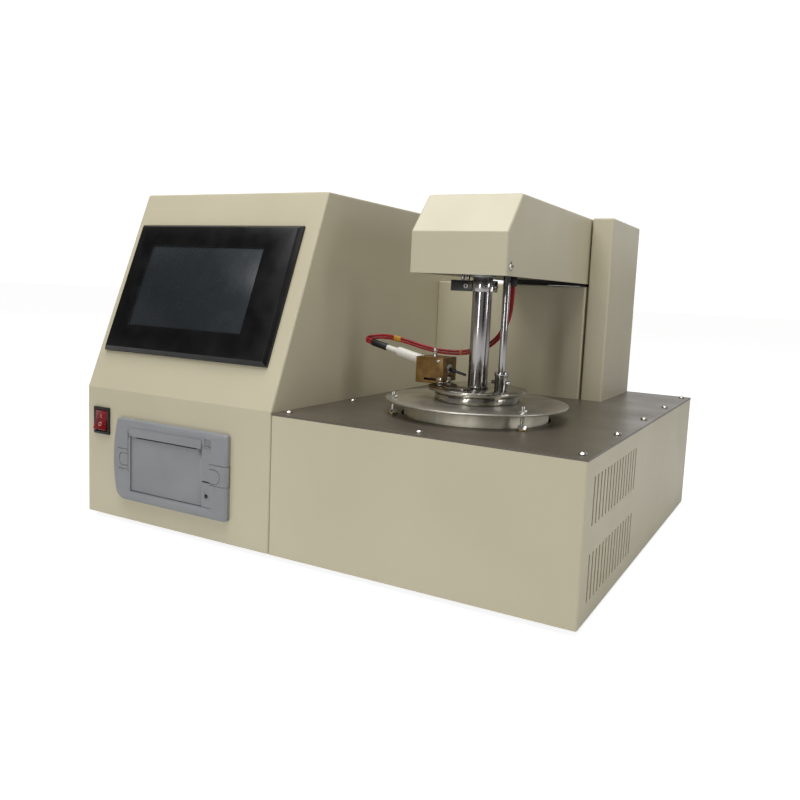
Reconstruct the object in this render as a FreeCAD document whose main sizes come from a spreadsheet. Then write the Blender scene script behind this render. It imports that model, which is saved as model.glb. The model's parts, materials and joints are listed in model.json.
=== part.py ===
import FreeCAD, Part
import math
import os
from types import SimpleNamespace

import Sketcher
from FreeCAD import Placement, Rotation, Vector

# Closed-cup flash point tester: a console with display, printer and switch on the left, and on
# the right a low base with the oil bath, over which a lifting head carries lid, stirrer and igniter.
# Frame: X to the right, Y to the back, Z up; the origin is under the middle of the instrument.

SIZES = {
    # cabinet
    "console_width": 248.5,
    "seam_gap": 0.5,
    "base_width": 300.0,
    "body_depth": 462.0,
    "foot_height": 5.0,
    "foot_radius": 11.0,
    "foot_inset": 36.0,
    "wall": 1.5,
    "fold_radius": 2.2,
    "base_height": 133.0,
    "lip_width": 14.0,
    "deck_thickness": 2.0,
    "console_height": 347.0,
    "console_fold_height": 136.0,
    "console_setback": 82.0,
    "overrun": 1.0,
    "run_gap": 0.3,
    "fit_gap": 0.05,
    # screws
    "screw_head_radius": 3.6,
    "screw_head_height": 2.0,
    "screw_rim_height": 0.8,
    "screw_crown_radius": 2.4,
    "screw_recess_length": 3.4,
    "screw_recess_width": 0.8,
    "screw_recess_depth": 1.1,
    "screw_shank_radius": 1.9,
    "screw_hole_gap": 0.2,
    "screw_shank_length": 6.0,
    "deck_screw_side_inset": 9.0,
    "deck_screw_end_inset": 15.0,
    # side vents
    "vent_width": 3.2,
    "vent_height": 40.0,
    "vent_pitch": 10.0,
    "vent_start": 22.8,
    "vent_low_bottom": 15.0,
    "vent_rise": 63.0,
    # fan
    "fan_side": 60.0,
    "fan_depth": 15.0,
    "fan_bore_radius": 28.0,
    "fan_hub_radius": 12.0,
    "fan_strut_width": 4.0,
    "fan_strut_depth": 2.5,
    "fan_blade_depth": 9.0,
    "fan_blade_thickness": 1.2,
    "fan_blade_gap": 1.5,
    "fan_inset": 72.0,
    "fan_slot_height": 3.0,
    "fan_slot_pitch": 6.0,
    # bath
    "bath_from_left": 148.5,
    "bath_from_front": 131.0,
    "ring_radius": 89.5,
    "ring_thickness": 2.0,
    "ring_rise": 15.0,
    "ring_bore_radius": 34.0,
    "jacket_radius": 71.0,
    "jacket_depth": 78.0,
    "jacket_wall": 1.5,
    "deck_bore_gap": 2.5,
    "heater_radius": 45.0,
    "heater_floor": 9.0,
    "heater_band_width": 7.0,
    "heater_band_height": 34.0,
    "heater_band_rise": 9.0,
    "cup_air_gap": 1.5,
    "cup_outer_radius": 27.0,
    "cup_bore_radius": 25.4,
    "cup_depth": 55.9,
    "cup_floor": 2.5,
    "cup_flange_radius": 39.7,
    "cup_flange_thickness": 3.2,
    "seat_radius": 41.5,
    "seat_height": 6.5,
    "stud_circle_radius": 82.5,
    "stud_radius": 2.0,
    "stud_tip": 5.0,
    "nut_across": 7.0,
    "nut_height": 3.2,
    "washer_radius": 4.5,
    "washer_thickness": 1.0,
    # lid, shutter and column
    "lid_radius": 48.6,
    "lid_thickness": 2.6,
    "port_circle_radius": 14.0,
    "port_radius": 4.5,
    "shutter_window_radius": 6.0,
    "shutter_radius": 36.0,
    "shutter_thickness": 1.4,
    "shutter_gap": 0.2,
    "shutter_hub_rise": 0.5,
    "column_radius": 9.6,
    "column_bore_radius": 7.6,
    "column_top_reach": 22.0,
    "collar_radius": 10.6,
    "collar_height": 11.0,
    "collar_drop": 6.0,
    "collar_ear_thickness": 2.9,
    "collar_ear_width": 10.0,
    "lever_length": 32.3,
    "lever_width": 9.0,
    "lever_height": 10.6,
    "lever_screw_radius": 2.4,
    "lever_screw_out": 15.7,
    "stop_pin_radius": 1.7,
    "stop_pin_first": 15.8,
    "stop_pin_second": 21.4,
    "bearing_radius": 12.5,
    "bearing_thickness": 3.0,
    "post_offset": 24.8,
    "post_radius": 3.5,
    "post_clamp_radius": 6.4,
    "post_clamp_height": 13.8,
    "post_ring_radius": 6.9,
    "post_ring_height": 3.8,
    "set_screw_radius": 1.8,
    "set_screw_length": 4.4,
    "set_screw_rise": 7.5,
    "probe_radius": 1.6,
    "probe_offset": 17.0,
    "probe_dip": 44.0,
    # stirrer
    "shaft_radius": 2.8,
    "upper_blade_radius": 9.5,
    "lower_blade_radius": 17.0,
    "blade_height": 6.0,
    "blade_thickness": 1.4,
    "blade_hub_radius": 4.5,
    "upper_blade_drop": 22.0,
    "lower_blade_drop": 48.0,
    # head
    "head_left_reach": 53.1,
    "head_right_reach": 44.5,
    "head_front": 79.0,
    "head_rise": 135.8,
    "head_fold_rise": 38.5,
    "head_height": 75.5,
    "head_setback": 32.0,
    "head_back_gap": 10.0,
    "head_plate_thickness": 3.0,
    "head_plate_inset": 2.0,
    "head_flange_height": 13.0,
    "head_screw_rise": 8.7,
    "head_screw_front": 9.5,
    "head_screw_radius": 4.2,
    # rear covers
    "lift_cover_width": 192.4,
    "lift_cover_depth": 132.0,
    "lift_cover_gap": 3.0,
    "cover_back_gap": 1.0,
    "tower_gap": 2.4,
    "tower_width": 24.8,
    "tower_depth": 131.0,
    # lift
    "rod_radius": 6.0,
    "rod_spread": 27.0,
    "rod_from_back": 66.0,
    "frame_width": 92.0,
    "frame_depth": 54.0,
    "frame_foot": 5.0,
    "frame_post": 8.0,
    "frame_top": 19.0,
    "frame_top_gap": 4.0,
    "carriage_width": 74.0,
    "carriage_depth": 30.0,
    "carriage_height": 12.0,
    "carriage_lift": 11.0,
    "screw_radius": 4.0,
    "coupling_radius": 9.0,
    "coupling_bore_radius": 12.0,
    "motor_side": 42.3,
    "motor_height": 40.0,
    "motor_corner": 4.0,
    # head motors
    "shutter_motor_side": 46.0,
    "shutter_motor_height": 26.0,
    "stirrer_motor_radius": 16.0,
    "stirrer_motor_height": 34.0,
    "stirrer_flange_radius": 20.0,
    "stirrer_flange_height": 3.0,
    "coil_width": 60.0,
    "coil_depth": 40.0,
    "coil_height": 26.0,
    "coil_behind": 75.0,
    # igniter
    "igniter_reach": 61.3,
    "igniter_length": 30.0,
    "igniter_depth": 30.0,
    "igniter_top": 27.0,
    "igniter_bottom": 1.2,
    "igniter_bottom_right": 3.3,
    "igniter_flat": 16.0,
    "igniter_slot_width": 8.6,
    "pivot_out": 34.2,
    "pivot_rise": 5.9,
    "pivot_pin_radius": 1.5,
    "pivot_head_radius": 2.2,
    "pivot_head_height": 1.2,
    "tongue_width": 8.0,
    "tongue_radius": 3.2,
    "bracket_foot_thickness": 3.0,
    "axis_height": 15.3,
    "axis_run": 132.0,
    "axis_drop": 30.0,
    "ceramic_radius": 4.9,
    "ceramic_length": 61.5,
    "ceramic_proud": 0.8,
    "ceramic_round": 1.4,
    "neck_radius": 2.8,
    "neck_length": 16.9,
    "boot_radius": 3.6,
    "boot_length": 14.6,
    "boot_lap": 4.2,
    "boot_round": 0.8,
    "electrode_radius": 1.3,
    "electrode_length": 18.5,
    "electrode_collar_radius": 1.9,
    "electrode_collar_length": 7.0,
    "terminal_out": 47.8,
    "terminal_radius": 1.4,
    "terminal_height": 8.4,
    "terminal_ball_radius": 2.3,
    "terminal_round": 0.7,
    "terminal_nut_radius": 2.1,
    "terminal_nut_height": 2.0,
    "slot_mark_left": 52.0,
    "slot_mark_right": 38.5,
    "slot_mark_rise": 4.2,
    "slot_mark_height": 2.4,
    "slot_mark_depth": 5.0,
    "face_screw_out": 36.9,
    "face_screw_drop": 2.9,
    "face_screw_radius": 1.6,
    "face_screw_height": 0.9,
    "lead_diameter": 2.6,
    "lead_pitch": 2.8,
    "lead_run_out": 6.0,
    "gland_radius": 4.2,
    "gland_drop": 10.5,
    "gland_out": 23.6,
    "gland_behind": 18.5,
    # display
    "display_left": 10.7,
    "display_rise": 41.5,
    "display_width": 220.8,
    "display_height": 146.6,
    "display_proud": 6.5,
    "display_bevel": 4.0,
    "display_box_inset": 9.0,
    "display_box_depth": 32.0,
    "display_cut_gap": 0.4,
    "screen_left": 27.5,
    "screen_rise": 29.3,
    "screen_width": 154.0,
    "screen_height": 91.0,
    "screen_recess": 2.2,
    "screen_thickness": 1.2,
    # rocker switch
    "switch_left": 11.8,
    "switch_rise": 87.0,
    "switch_width": 22.8,
    "switch_height": 28.6,
    "switch_proud": 2.2,
    "switch_depth": 24.0,
    "switch_step": 1.4,
    "switch_rim": 2.6,
    "switch_well_depth": 11.0,
    "rocker_gap": 0.3,
    "rocker_pivot_depth": 4.0,
    "rocker_middle_rise": 4.2,
    "rocker_pin_radius": 1.4,
    "rocker_pin_length": 1.4,
    # printer
    "printer_left": 48.0,
    "printer_rise": 22.5,
    "printer_width": 153.0,
    "printer_height": 86.0,
    "printer_proud": 6.0,
    "printer_bevel": 2.2,
    "printer_corner": 13.0,
    "printer_small_corner": 4.0,
    "printer_bow": 6.0,
    "printer_bow_out": 3.2,
    "printer_box_inset": 9.0,
    "printer_box_depth": 52.0,
    "printer_wall": 2.0,
    "door_left": 23.5,
    "door_rise": 11.0,
    "door_width": 98.0,
    "door_height": 57.5,
    "door_thickness": 2.6,
    "door_gap": 0.4,
    "door_recess": 1.2,
    "door_foot_gap": 0.6,
    "door_pin_radius": 1.0,
    "door_pin_length": 2.0,
    "door_lug_thickness": 3.0,
    "door_lug_reach": 11.0,
    "door_lug_drop": 8.0,
    "platen_radius": 4.6,
    "platen_pin_radius": 1.5,
    "paper_radius": 17.0,
    "paper_length": 80.0,
    "paper_core_radius": 6.2,
    "paper_pin_radius": 5.8,
    "paper_pin_length": 8.0,
    "paper_depth": 30.0,
    "paper_slot_inset": 7.0,
    "paper_slot_height": 1.4,
    "tear_bar_height": 9.0,
    "tear_bar_proud": 0.9,
    "tear_bar_notch": 4.0,
    "notch_left": 124.4,
    "notch_rise": 70.6,
    "notch_width": 9.4,
    "notch_height": 8.6,
    "notch_depth": 1.6,
    "latch_slot_left": 122.6,
    "latch_slot_rise": 35.8,
    "latch_slot_width": 9.4,
    "latch_slot_height": 1.7,
    "latch_slot_depth": 4.0,
    "button_radius": 2.0,
    "button_gap": 0.3,
    "button_out": 128.0,
    "button_rise": 22.6,
    "button_length": 9.0,
    "button_travel": 0.8,
    # inlet on the rear panel
    "inlet_from_left": 60.0,
    "inlet_rise": 40.0,
    "inlet_width": 50.0,
    "inlet_height": 27.0,
    "inlet_proud": 3.0,
    "inlet_cut_width": 30.0,
    "inlet_cut_height": 22.0,
    "inlet_depth": 26.0,
    "socket_width": 24.4,
    "socket_height": 16.4,
    "socket_depth": 17.0,
    "socket_pin_width": 4.0,
    "socket_pin_height": 2.0,
    "socket_pin_length": 12.0,
    "socket_pin_pitch": 7.0,
    "socket_pin_offset": 2.0,
    # electronics
    "supply_width": 62.0,
    "supply_depth": 110.0,
    "supply_height": 38.0,
    "board_width": 120.0,
    "board_depth": 160.0,
    "board_thickness": 1.6,
    "board_standoff": 8.0,
    "standoff_radius": 3.0,
    "standoff_inset": 6.0,
}

VENT_COUNT = 15
DECK_SCREW_ROWS = 5
FAN_BLADE_COUNT = 7
FAN_SLOT_COUNT = 8
SHUTTER_START_ANGLE = 100
SHUTTER_SPAN_ANGLE = 172
SHUTTER_WINDOW_ANGLE = 130
PORT_ANGLE = 180
STUD_ANGLES = (216, 324, 90)
ROCKER_TILT_ANGLE = 10
BLADE_PITCH_ANGLE = 35
NUT_SIDES = 6
STIRRER_BLADES = 4
# Corners of the rocker's rounded ends, as angles from its pivot
ROCKER_END_ANGLES = (-12, 0, 10, 20, 30)
ARC_SHARE = 0.45
HALF_STEP_SHARE = 0.5
# Shares of the way: across, behind the axis, up, and how far the pair has tipped over
LEAD_SHARES = (
    (-0.069, 0.227, 0.034, 0.0),
    (-0.069, 0.551, 0.055, 0.0),
    (-0.040, 0.805, 0.075, 0.0),
    (0.015, 0.946, 0.088, 0.0),
    (0.109, 0.968, 0.080, 0.0),
    (0.230, 0.985, 0.028, 0.0),
    (0.353, 1.000, -0.038, 0.0),
    (0.456, 1.030, -0.075, 0.0),
    (0.558, 1.080, -0.086, 0.0),
    (0.654, 1.140, -0.077, 0.0),
    (0.766, 1.189, -0.013, 0.25),
    (0.860, 1.200, 0.091, 0.41),
    (0.930, 1.178, 0.264, 0.63),
    (0.981, 1.108, 0.520, 0.82),
    (1.000, 1.000, 0.776, 1.0),
)

doc = FreeCAD.newDocument("flash_point_tester")
sheet = doc.addObject("Spreadsheet::Sheet", "Sizes")
for row, (alias, number) in enumerate(SIZES.items(), start=1):
    sheet.set(f"A{row}", alias)
    sheet.set(f"B{row}", str(number))
    sheet.setAlias(f"B{row}", alias)
doc.recompute()


class Size:
    """A length that knows its value and the sheet expression behind it."""

    def __init__(self, text, value):
        self.text = text
        self.value = value

    def __add__(self, other):
        return combine(self, "+", other, self.value + value_of(other))

    def __radd__(self, other):
        return combine(other, "+", self, value_of(other) + self.value)

    def __sub__(self, other):
        return combine(self, "-", other, self.value - value_of(other))

    def __rsub__(self, other):
        return combine(other, "-", self, value_of(other) - self.value)

    def __mul__(self, other):
        return combine(self, "*", other, self.value * value_of(other))

    def __rmul__(self, other):
        return combine(other, "*", self, value_of(other) * self.value)

    def __truediv__(self, other):
        return combine(self, "/", other, self.value / value_of(other))

    def __neg__(self):
        return Size(f"(0 - {self.text})", -self.value)


def value_of(item):
    return item.value if isinstance(item, Size) else float(item)


def text_of(item):
    return item.text if isinstance(item, Size) else f"({float(item)!r})"


def combine(first, sign, second, value):
    return Size(f"({text_of(first)} {sign} {text_of(second)})", value)


def diagonal(first, second):
    text = f"sqrt({first.text} * {first.text} + {second.text} * {second.text})"
    return Size(text, math.hypot(first.value, second.value))


def along(length, degrees):
    """The X and Y parts of a length that points at an angle."""
    turn = math.radians(degrees)
    return length * math.cos(turn), length * math.sin(turn)


size = SimpleNamespace(**{
    alias: Size(f"Sizes.{alias}", float(sheet.get(alias))) for alias in SIZES
})

# Derived places, shared by several pieces
left = (size.console_width + size.seam_gap + size.base_width) / -2
base_left = left + size.console_width + size.seam_gap
base_right = base_left + size.base_width
front = (size.printer_proud - size.inlet_proud - size.body_depth) / 2
back = front + size.body_depth
floor = size.foot_height
deck_under = floor + size.base_height
deck_top = deck_under + size.deck_thickness
console_right = left + size.console_width
console_top = floor + size.console_height
fold_z = floor + size.console_fold_height
slope_rise = size.console_height - size.console_fold_height
slope_length = diagonal(size.console_setback, slope_rise)

bath_x = base_left + size.bath_from_left
bath_y = front + size.bath_from_front
ring_top = deck_top + size.ring_rise
ring_under = ring_top - size.ring_thickness
seat_top = ring_top + size.seat_height
cup_top = seat_top + size.cup_flange_thickness
lid_top = cup_top + size.lid_thickness
shutter_under = lid_top + size.shutter_gap
shutter_top = shutter_under + size.shutter_thickness
column_foot = shutter_top + size.shutter_hub_rise

head_under = deck_top + size.head_rise
head_top = head_under + size.head_height
head_left = bath_x - size.head_left_reach
head_right = bath_x + size.head_right_reach
head_front_y = front + size.head_front
head_back_y = back - size.head_back_gap
head_middle_x = (head_left + head_right) / 2
plate_under = head_under + size.head_plate_inset
plate_top = plate_under + size.head_plate_thickness
cover_top = head_under - size.lift_cover_gap
cover_back_y = back - size.cover_back_gap
cover_front_y = cover_back_y - size.lift_cover_depth
cover_right = base_left + size.lift_cover_width

rod_y = back - size.rod_from_back
frame_base_top = deck_top + size.frame_foot
guide_top = cover_top - size.wall - size.frame_top_gap
guide_under = guide_top - size.frame_top
carriage_under = deck_top + size.carriage_lift
carriage_top = carriage_under + size.carriage_height

pivot_x = bath_x - size.pivot_out
pivot_z = lid_top + size.pivot_rise

NODES = []


def keep(item, name):
    """Name a finished sub-part and list it for export."""
    item.Label = name
    NODES.append((name, item))
    return item


def bind(item, prop, length):
    """Tie a property to the sheet; a plain zero stays as it is."""
    if isinstance(length, Size):
        item.setExpression(prop, length.text)


def place(item, x=0, y=0, z=0, axis=None, angle=0):
    """Put an item at a place from the sheet, turned about one axis."""
    spin = Rotation(Vector(*axis), angle) if axis else Rotation()
    item.Placement = Placement(Vector(value_of(x), value_of(y), value_of(z)), spin)
    bind(item, "Placement.Base.x", x)
    bind(item, "Placement.Base.y", y)
    bind(item, "Placement.Base.z", z)
    return item


TURNS = {"Z": None, "X": ((0, 1, 0), 90), "Y": ((1, 0, 0), -90)}


def block(x, y, z, width, depth, height):
    item = doc.addObject("Part::Box", "Block")
    bind(item, "Length", width)
    bind(item, "Width", depth)
    bind(item, "Height", height)
    return place(item, x, y, z)


def rod(radius, x, y, z, length, way="Z"):
    item = doc.addObject("Part::Cylinder", "Rod")
    bind(item, "Radius", radius)
    bind(item, "Height", length)
    turn = TURNS[way]
    return place(item, x, y, z, *(turn or ()))


def cone(low_radius, high_radius, x, y, z, length, way="Z"):
    item = doc.addObject("Part::Cone", "Cone")
    bind(item, "Radius1", low_radius)
    bind(item, "Radius2", high_radius)
    bind(item, "Height", length)
    turn = TURNS[way]
    return place(item, x, y, z, *(turn or ()))


def tube(outer, inner, x, y, z, length, way="Z"):
    return carve(rod(outer, x, y, z, length, way), rod(inner, x, y, z, length, way))


def join(*items):
    item = doc.addObject("Part::MultiFuse", "Joined")
    item.Shapes = list(items)
    return item


def carve(base, *tools):
    item = doc.addObject("Part::Cut", "Carved")
    item.Base = base
    item.Tool = tools[0] if len(tools) == 1 else join(*tools)
    return item


def group(items):
    item = doc.addObject("Part::Compound", "Group")
    item.Links = list(items)
    return item


def polygon(points):
    return {"points": points}


def rectangle(x0, y0, x1, y1):
    return polygon([(x0, y0), (x1, y0), (x1, y1), (x0, y1)])


def circle(x, y, radius):
    return {"centre": (x, y), "radius": radius}


def fix(sketch, kind, geometry, point, length):
    """Hold one coordinate of a sketch point at a length from the sheet."""
    number = value_of(length)
    index = sketch.addConstraint(Sketcher.Constraint(kind, -1, 1, geometry, point, number))
    bind(sketch, f"Constraints[{index}]", length)


def draw(sketch, loop):
    start = sketch.GeometryCount
    if "radius" in loop:
        x, y = loop["centre"]
        centre = Vector(value_of(x), value_of(y), 0)
        sketch.addGeometry(Part.Circle(centre, Vector(0, 0, 1), value_of(loop["radius"])), False)
        fix(sketch, "DistanceX", start, 3, x)
        fix(sketch, "DistanceY", start, 3, y)
        index = sketch.addConstraint(
            Sketcher.Constraint("Radius", start, value_of(loop["radius"])))
        bind(sketch, f"Constraints[{index}]", loop["radius"])
        return
    corners = [Vector(value_of(x), value_of(y), 0) for x, y in loop["points"]]
    count = len(corners)
    for index in range(count):
        edge = Part.LineSegment(corners[index], corners[(index + 1) % count])
        sketch.addGeometry(edge, False)
    for index in range(count):
        following = start + (index + 1) % count
        sketch.addConstraint(Sketcher.Constraint("Coincident", start + index, 2, following, 1))
    for index, (x, y) in enumerate(loop["points"]):
        fix(sketch, "DistanceX", start + index, 1, x)
        fix(sketch, "DistanceY", start + index, 1, y)


def new_body(name):
    return doc.addObject("PartDesign::Body", name)


def new_sketch(body, plane, loops, level=0):
    """A sketch on one of the body's own planes, moved along that plane's axis."""
    sketch = body.newObject("Sketcher::SketchObject", f"{body.Name}_sketch")
    origin = [item for item in body.Origin.OriginFeatures if item.Role == f"{plane}_Plane"]
    sketch.AttachmentSupport = [(origin[0], "")]
    sketch.MapMode = "FlatFace"
    bind(sketch, "AttachmentOffset.Base.z", -level if plane == "XZ" and level else level)
    for loop in loops:
        draw(sketch, loop)
    return sketch


def pad(body, plane, loops, level, length):
    """Add a prism that grows along the plane's positive axis from a level."""
    feature = body.newObject("PartDesign::Pad", f"{body.Name}_pad")
    feature.Profile = new_sketch(body, plane, loops, level)
    feature.Reversed = plane == "XZ"
    bind(feature, "Length", length)
    return feature


def pocket(body, plane, loops, level, length):
    """Cut a prism that grows along the plane's positive axis from a level."""
    feature = body.newObject("PartDesign::Pocket", f"{body.Name}_pocket")
    feature.Profile = new_sketch(body, plane, loops, level)
    feature.Reversed = plane != "XZ"
    bind(feature, "Length", length)
    return feature


def turned(body, points):
    """Revolve a half section, drawn in radius and height, about the body's own Z axis."""
    feature = body.newObject("PartDesign::Revolution", f"{body.Name}_turn")
    sketch = new_sketch(body, "XZ", [polygon(points)])
    feature.Profile = sketch
    feature.ReferenceAxis = (sketch, ["V_Axis"])
    feature.Angle = 360
    return feature


def dress(body, kind, prop, length, wanted):
    """Fillet or chamfer the edges whose middle point and direction the test accepts."""
    doc.recompute()
    base = body.Tip
    names = []
    for index, edge in enumerate(base.Shape.Edges, start=1):
        middle = edge.valueAt((edge.FirstParameter + edge.LastParameter) / 2)
        if wanted(edge, middle):
            names.append(f"Edge{index}")
    feature = body.newObject(kind, f"{body.Name}_edges")
    feature.Base = (base, names)
    bind(feature, prop, length)
    body.Tip = feature


def soften(body, radius, wanted):
    dress(body, "PartDesign::Fillet", "Radius", radius, wanted)


def bevel(body, width, wanted):
    dress(body, "PartDesign::Chamfer", "Size", width, wanted)


def near(number, length):
    return abs(number - value_of(length)) < 1e-3


def upright(edge):
    """True for a straight edge along Z."""
    if not isinstance(edge.Curve, Part.Line):
        return False
    return abs(abs(edge.Curve.Direction.z) - 1) < 1e-6


def add_base_shell():
    body = new_body("BaseShell")
    inner = rectangle(base_left + size.wall, front + size.wall,
                      base_right - size.wall, back - size.wall)
    outer = rectangle(base_left, front, base_right, back)
    pad(body, "XY", [outer], floor, size.base_height)
    soften(body, size.fold_radius, lambda edge, middle: upright(edge))
    pocket(body, "XY", [inner], floor, size.base_height - size.wall)
    opening = rectangle(base_left + size.lip_width, front + size.lip_width,
                        base_right - size.lip_width, back - size.lip_width)
    pocket(body, "XY", [opening], deck_under - size.wall, size.wall)
    slots = []
    for rise in (0, size.vent_rise):
        low = floor + size.vent_low_bottom + rise
        slots.append(rectangle(front + size.vent_start - size.vent_width / 2, low,
                               front + size.vent_start + size.vent_width / 2,
                               low + size.vent_height))
    vents = pocket(body, "YZ", slots, base_right - size.wall, size.wall)
    row = body.newObject("PartDesign::LinearPattern", "VentRow")
    row.Originals = [vents]
    row.Direction = (vents.Profile[0], ["H_Axis"])
    bind(row, "Length", size.vent_pitch * (VENT_COUNT - 1))
    row.Occurrences = VENT_COUNT
    body.Tip = row
    fan_x = base_right - size.fan_inset
    slot_z = (floor + deck_under) / 2 - size.fan_slot_pitch * (FAN_SLOT_COUNT - 1) / 2
    half = size.fan_bore_radius - size.fan_slot_pitch
    slot = rectangle(fan_x - half, slot_z - size.fan_slot_height / 2,
                     fan_x + half, slot_z + size.fan_slot_height / 2)
    exhaust = pocket(body, "XZ", [slot], back - size.wall, size.wall)
    stack = body.newObject("PartDesign::LinearPattern", "ExhaustStack")
    stack.Originals = [exhaust]
    stack.Direction = (exhaust.Profile[0], ["V_Axis"])
    bind(stack, "Length", size.fan_slot_pitch * (FAN_SLOT_COUNT - 1))
    stack.Occurrences = FAN_SLOT_COUNT
    body.Tip = stack
    for x, y in deck_screw_places():
        hole = circle(x, y, size.screw_shank_radius + size.screw_hole_gap)
        pocket(body, "XY", [hole], deck_under - size.wall, size.wall)
    keep(body, "base_shell")


def deck_screw_places():
    """Where the deck is screwed down: both side rows, and the middle of front and back."""
    places = []
    pitch = (size.body_depth - size.deck_screw_end_inset * 2) / (DECK_SCREW_ROWS - 1)
    for row in range(DECK_SCREW_ROWS):
        y = front + size.deck_screw_end_inset + pitch * row
        places.append((base_right - size.deck_screw_side_inset, y))
        if row < DECK_SCREW_ROWS - 2:
            places.append((base_left + size.deck_screw_side_inset, y))
    middle = (base_left + base_right) / 2
    places.append((middle, front + size.deck_screw_end_inset / 2 + size.lip_width / 4))
    return places


def pan_screw(x, y, z, length):
    """A pan head screw that sits on a face at z and points down."""
    crown = size.screw_head_height - size.screw_rim_height
    rim = rod(size.screw_head_radius, x, y, z, size.screw_rim_height)
    top = cone(size.screw_head_radius, size.screw_crown_radius, x, y, z + size.screw_rim_height,
               crown)
    shank = rod(size.screw_shank_radius, x, y, z - length, length)
    reach, wide = size.screw_recess_length / 2, size.screw_recess_width / 2
    low = z + size.screw_head_height - size.screw_recess_depth
    cross = [block(x - a, y - b, low, a * 2, b * 2, size.screw_recess_depth + size.overrun)
             for a, b in ((reach, wide), (wide, reach))]
    return carve(join(rim, top, shank), *cross)


def side_screw(x, y, z, length, side):
    """The same screw through an upright face at x; side is 1 when its head faces right."""
    crown = size.screw_head_height - size.screw_rim_height
    radius = size.head_screw_radius
    reach, wide = size.screw_recess_length / 2, size.screw_recess_width / 2
    if side == 1:
        rim = rod(radius, x, y, z, size.screw_rim_height, "X")
        top = cone(radius, size.screw_crown_radius, x + size.screw_rim_height, y, z, crown, "X")
        shank = rod(size.screw_shank_radius, x - length, y, z, length, "X")
        low = x + size.screw_head_height - size.screw_recess_depth
    else:
        rim = rod(radius, x - size.screw_rim_height, y, z, size.screw_rim_height, "X")
        top = cone(size.screw_crown_radius, radius, x - size.screw_head_height, y, z, crown, "X")
        shank = rod(size.screw_shank_radius, x, y, z, length, "X")
        low = x - size.screw_head_height - size.overrun
    cross = [block(low, y - a, z - b, size.screw_recess_depth + size.overrun, a * 2, b * 2)
             for a, b in ((reach, wide), (wide, reach))]
    return carve(join(rim, top, shank), *cross)


def add_deck():
    body = new_body("DeckPlate")
    loops = [rectangle(base_left, front, base_right, back),
             circle(bath_x, bath_y, size.jacket_radius + size.deck_bore_gap),
             circle(head_middle_x, rod_y, size.coupling_bore_radius)]
    for x, y in deck_screw_places():
        loops.append(circle(x, y, size.screw_shank_radius + size.screw_hole_gap))
    for x, y in stud_places():
        loops.append(circle(x, y, size.stud_radius + size.screw_hole_gap))
    pad(body, "XY", loops, deck_under, size.deck_thickness)
    keep(body, "deck_plate")
    screws = [pan_screw(x, y, deck_top, size.screw_shank_length) for x, y in deck_screw_places()]
    keep(group(screws), "deck_screws")


def add_pans_and_feet():
    console_pan = block(left + size.wall, front + size.wall, floor,
                        size.console_width - size.wall * 2,
                        size.body_depth - size.wall * 2, size.wall)
    base_pan = block(base_left + size.wall, front + size.wall, floor,
                     size.base_width - size.wall * 2, size.body_depth - size.wall * 2, size.wall)
    keep(group([console_pan, base_pan]), "bottom_pans")
    feet = []
    for x in (left + size.foot_inset, base_left + size.foot_inset, base_right - size.foot_inset):
        for y in (front + size.foot_inset, back - size.foot_inset):
            feet.append(rod(size.foot_radius, x, y, 0, size.foot_height))
    keep(group(feet), "rubber_feet")


def add_console():
    rise = slope_rise
    lean = slope_length / rise
    side = polygon([
        (front, floor), (back, floor), (back, console_top),
        (front + size.console_setback, console_top), (front, fold_z)])
    inner_fold_z = fold_z - size.wall * (slope_length - rise) / size.console_setback
    inner_top_y = front + size.console_setback + size.wall * lean \
        - size.wall * size.console_setback / rise
    hollow = polygon([
        (front + size.wall, floor), (back, floor), (back, console_top - size.wall),
        (inner_top_y, console_top - size.wall), (front + size.wall, inner_fold_z)])
    body = new_body("ConsoleShell")
    pad(body, "YZ", [side], left, size.console_width)

    def folded(edge, middle):
        return middle.y < value_of(back) - 1 and middle.z > value_of(floor) + 1

    soften(body, size.fold_radius, folded)
    pocket(body, "YZ", [hollow], left + size.wall, size.console_width - size.wall * 2)
    cuts = [
        rectangle(switch_x + size.switch_step, switch_z + size.switch_step,
                  switch_x + size.switch_width - size.switch_step,
                  switch_z + size.switch_height - size.switch_step),
        rectangle(printer_x + size.printer_box_inset - size.display_cut_gap,
                  printer_z + size.printer_box_inset / 2 - size.display_cut_gap,
                  printer_x + size.printer_width - size.printer_box_inset + size.display_cut_gap,
                  printer_z + size.printer_height - size.printer_box_inset / 2
                  + size.display_cut_gap)]
    pocket(body, "XZ", cuts, front, size.wall)
    window = rectangle(
        display_x + size.display_box_inset - size.display_cut_gap,
        size.display_rise + size.display_box_inset - size.display_cut_gap,
        display_x + size.display_width - size.display_box_inset + size.display_cut_gap,
        size.display_rise + size.display_height - size.display_box_inset + size.display_cut_gap)
    feature = body.newObject("PartDesign::Pocket", "DisplayCut")
    sketch = new_sketch(body, "XY", [window])
    sketch.AttachmentOffset = Placement(Vector(0, 0, 0), Rotation(Vector(1, 0, 0), 1))
    bind(sketch, "AttachmentOffset.Base.y", front)
    bind(sketch, "AttachmentOffset.Base.z", fold_z)
    sketch.setExpression("AttachmentOffset.Rotation.Angle", slope_angle_text)
    feature.Profile = sketch
    bind(feature, "Length", size.wall * 2)
    keep(body, "console_shell")

    panel = new_body("ConsoleBack")
    inlet_left = inlet_x + (size.inlet_width - size.inlet_cut_width) / 2 - size.display_cut_gap
    inlet_low = inlet_z + (size.inlet_height - size.inlet_cut_height) / 2 - size.display_cut_gap
    loops = [rectangle(left + size.wall, floor + size.wall, console_right - size.wall,
                       console_top - size.wall),
             rectangle(inlet_left, inlet_low,
                       inlet_left + size.inlet_cut_width + size.display_cut_gap * 2,
                       inlet_low + size.inlet_cut_height + size.display_cut_gap * 2)]
    pad(panel, "XZ", loops, back - size.wall, size.wall)
    keep(panel, "console_back")


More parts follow.
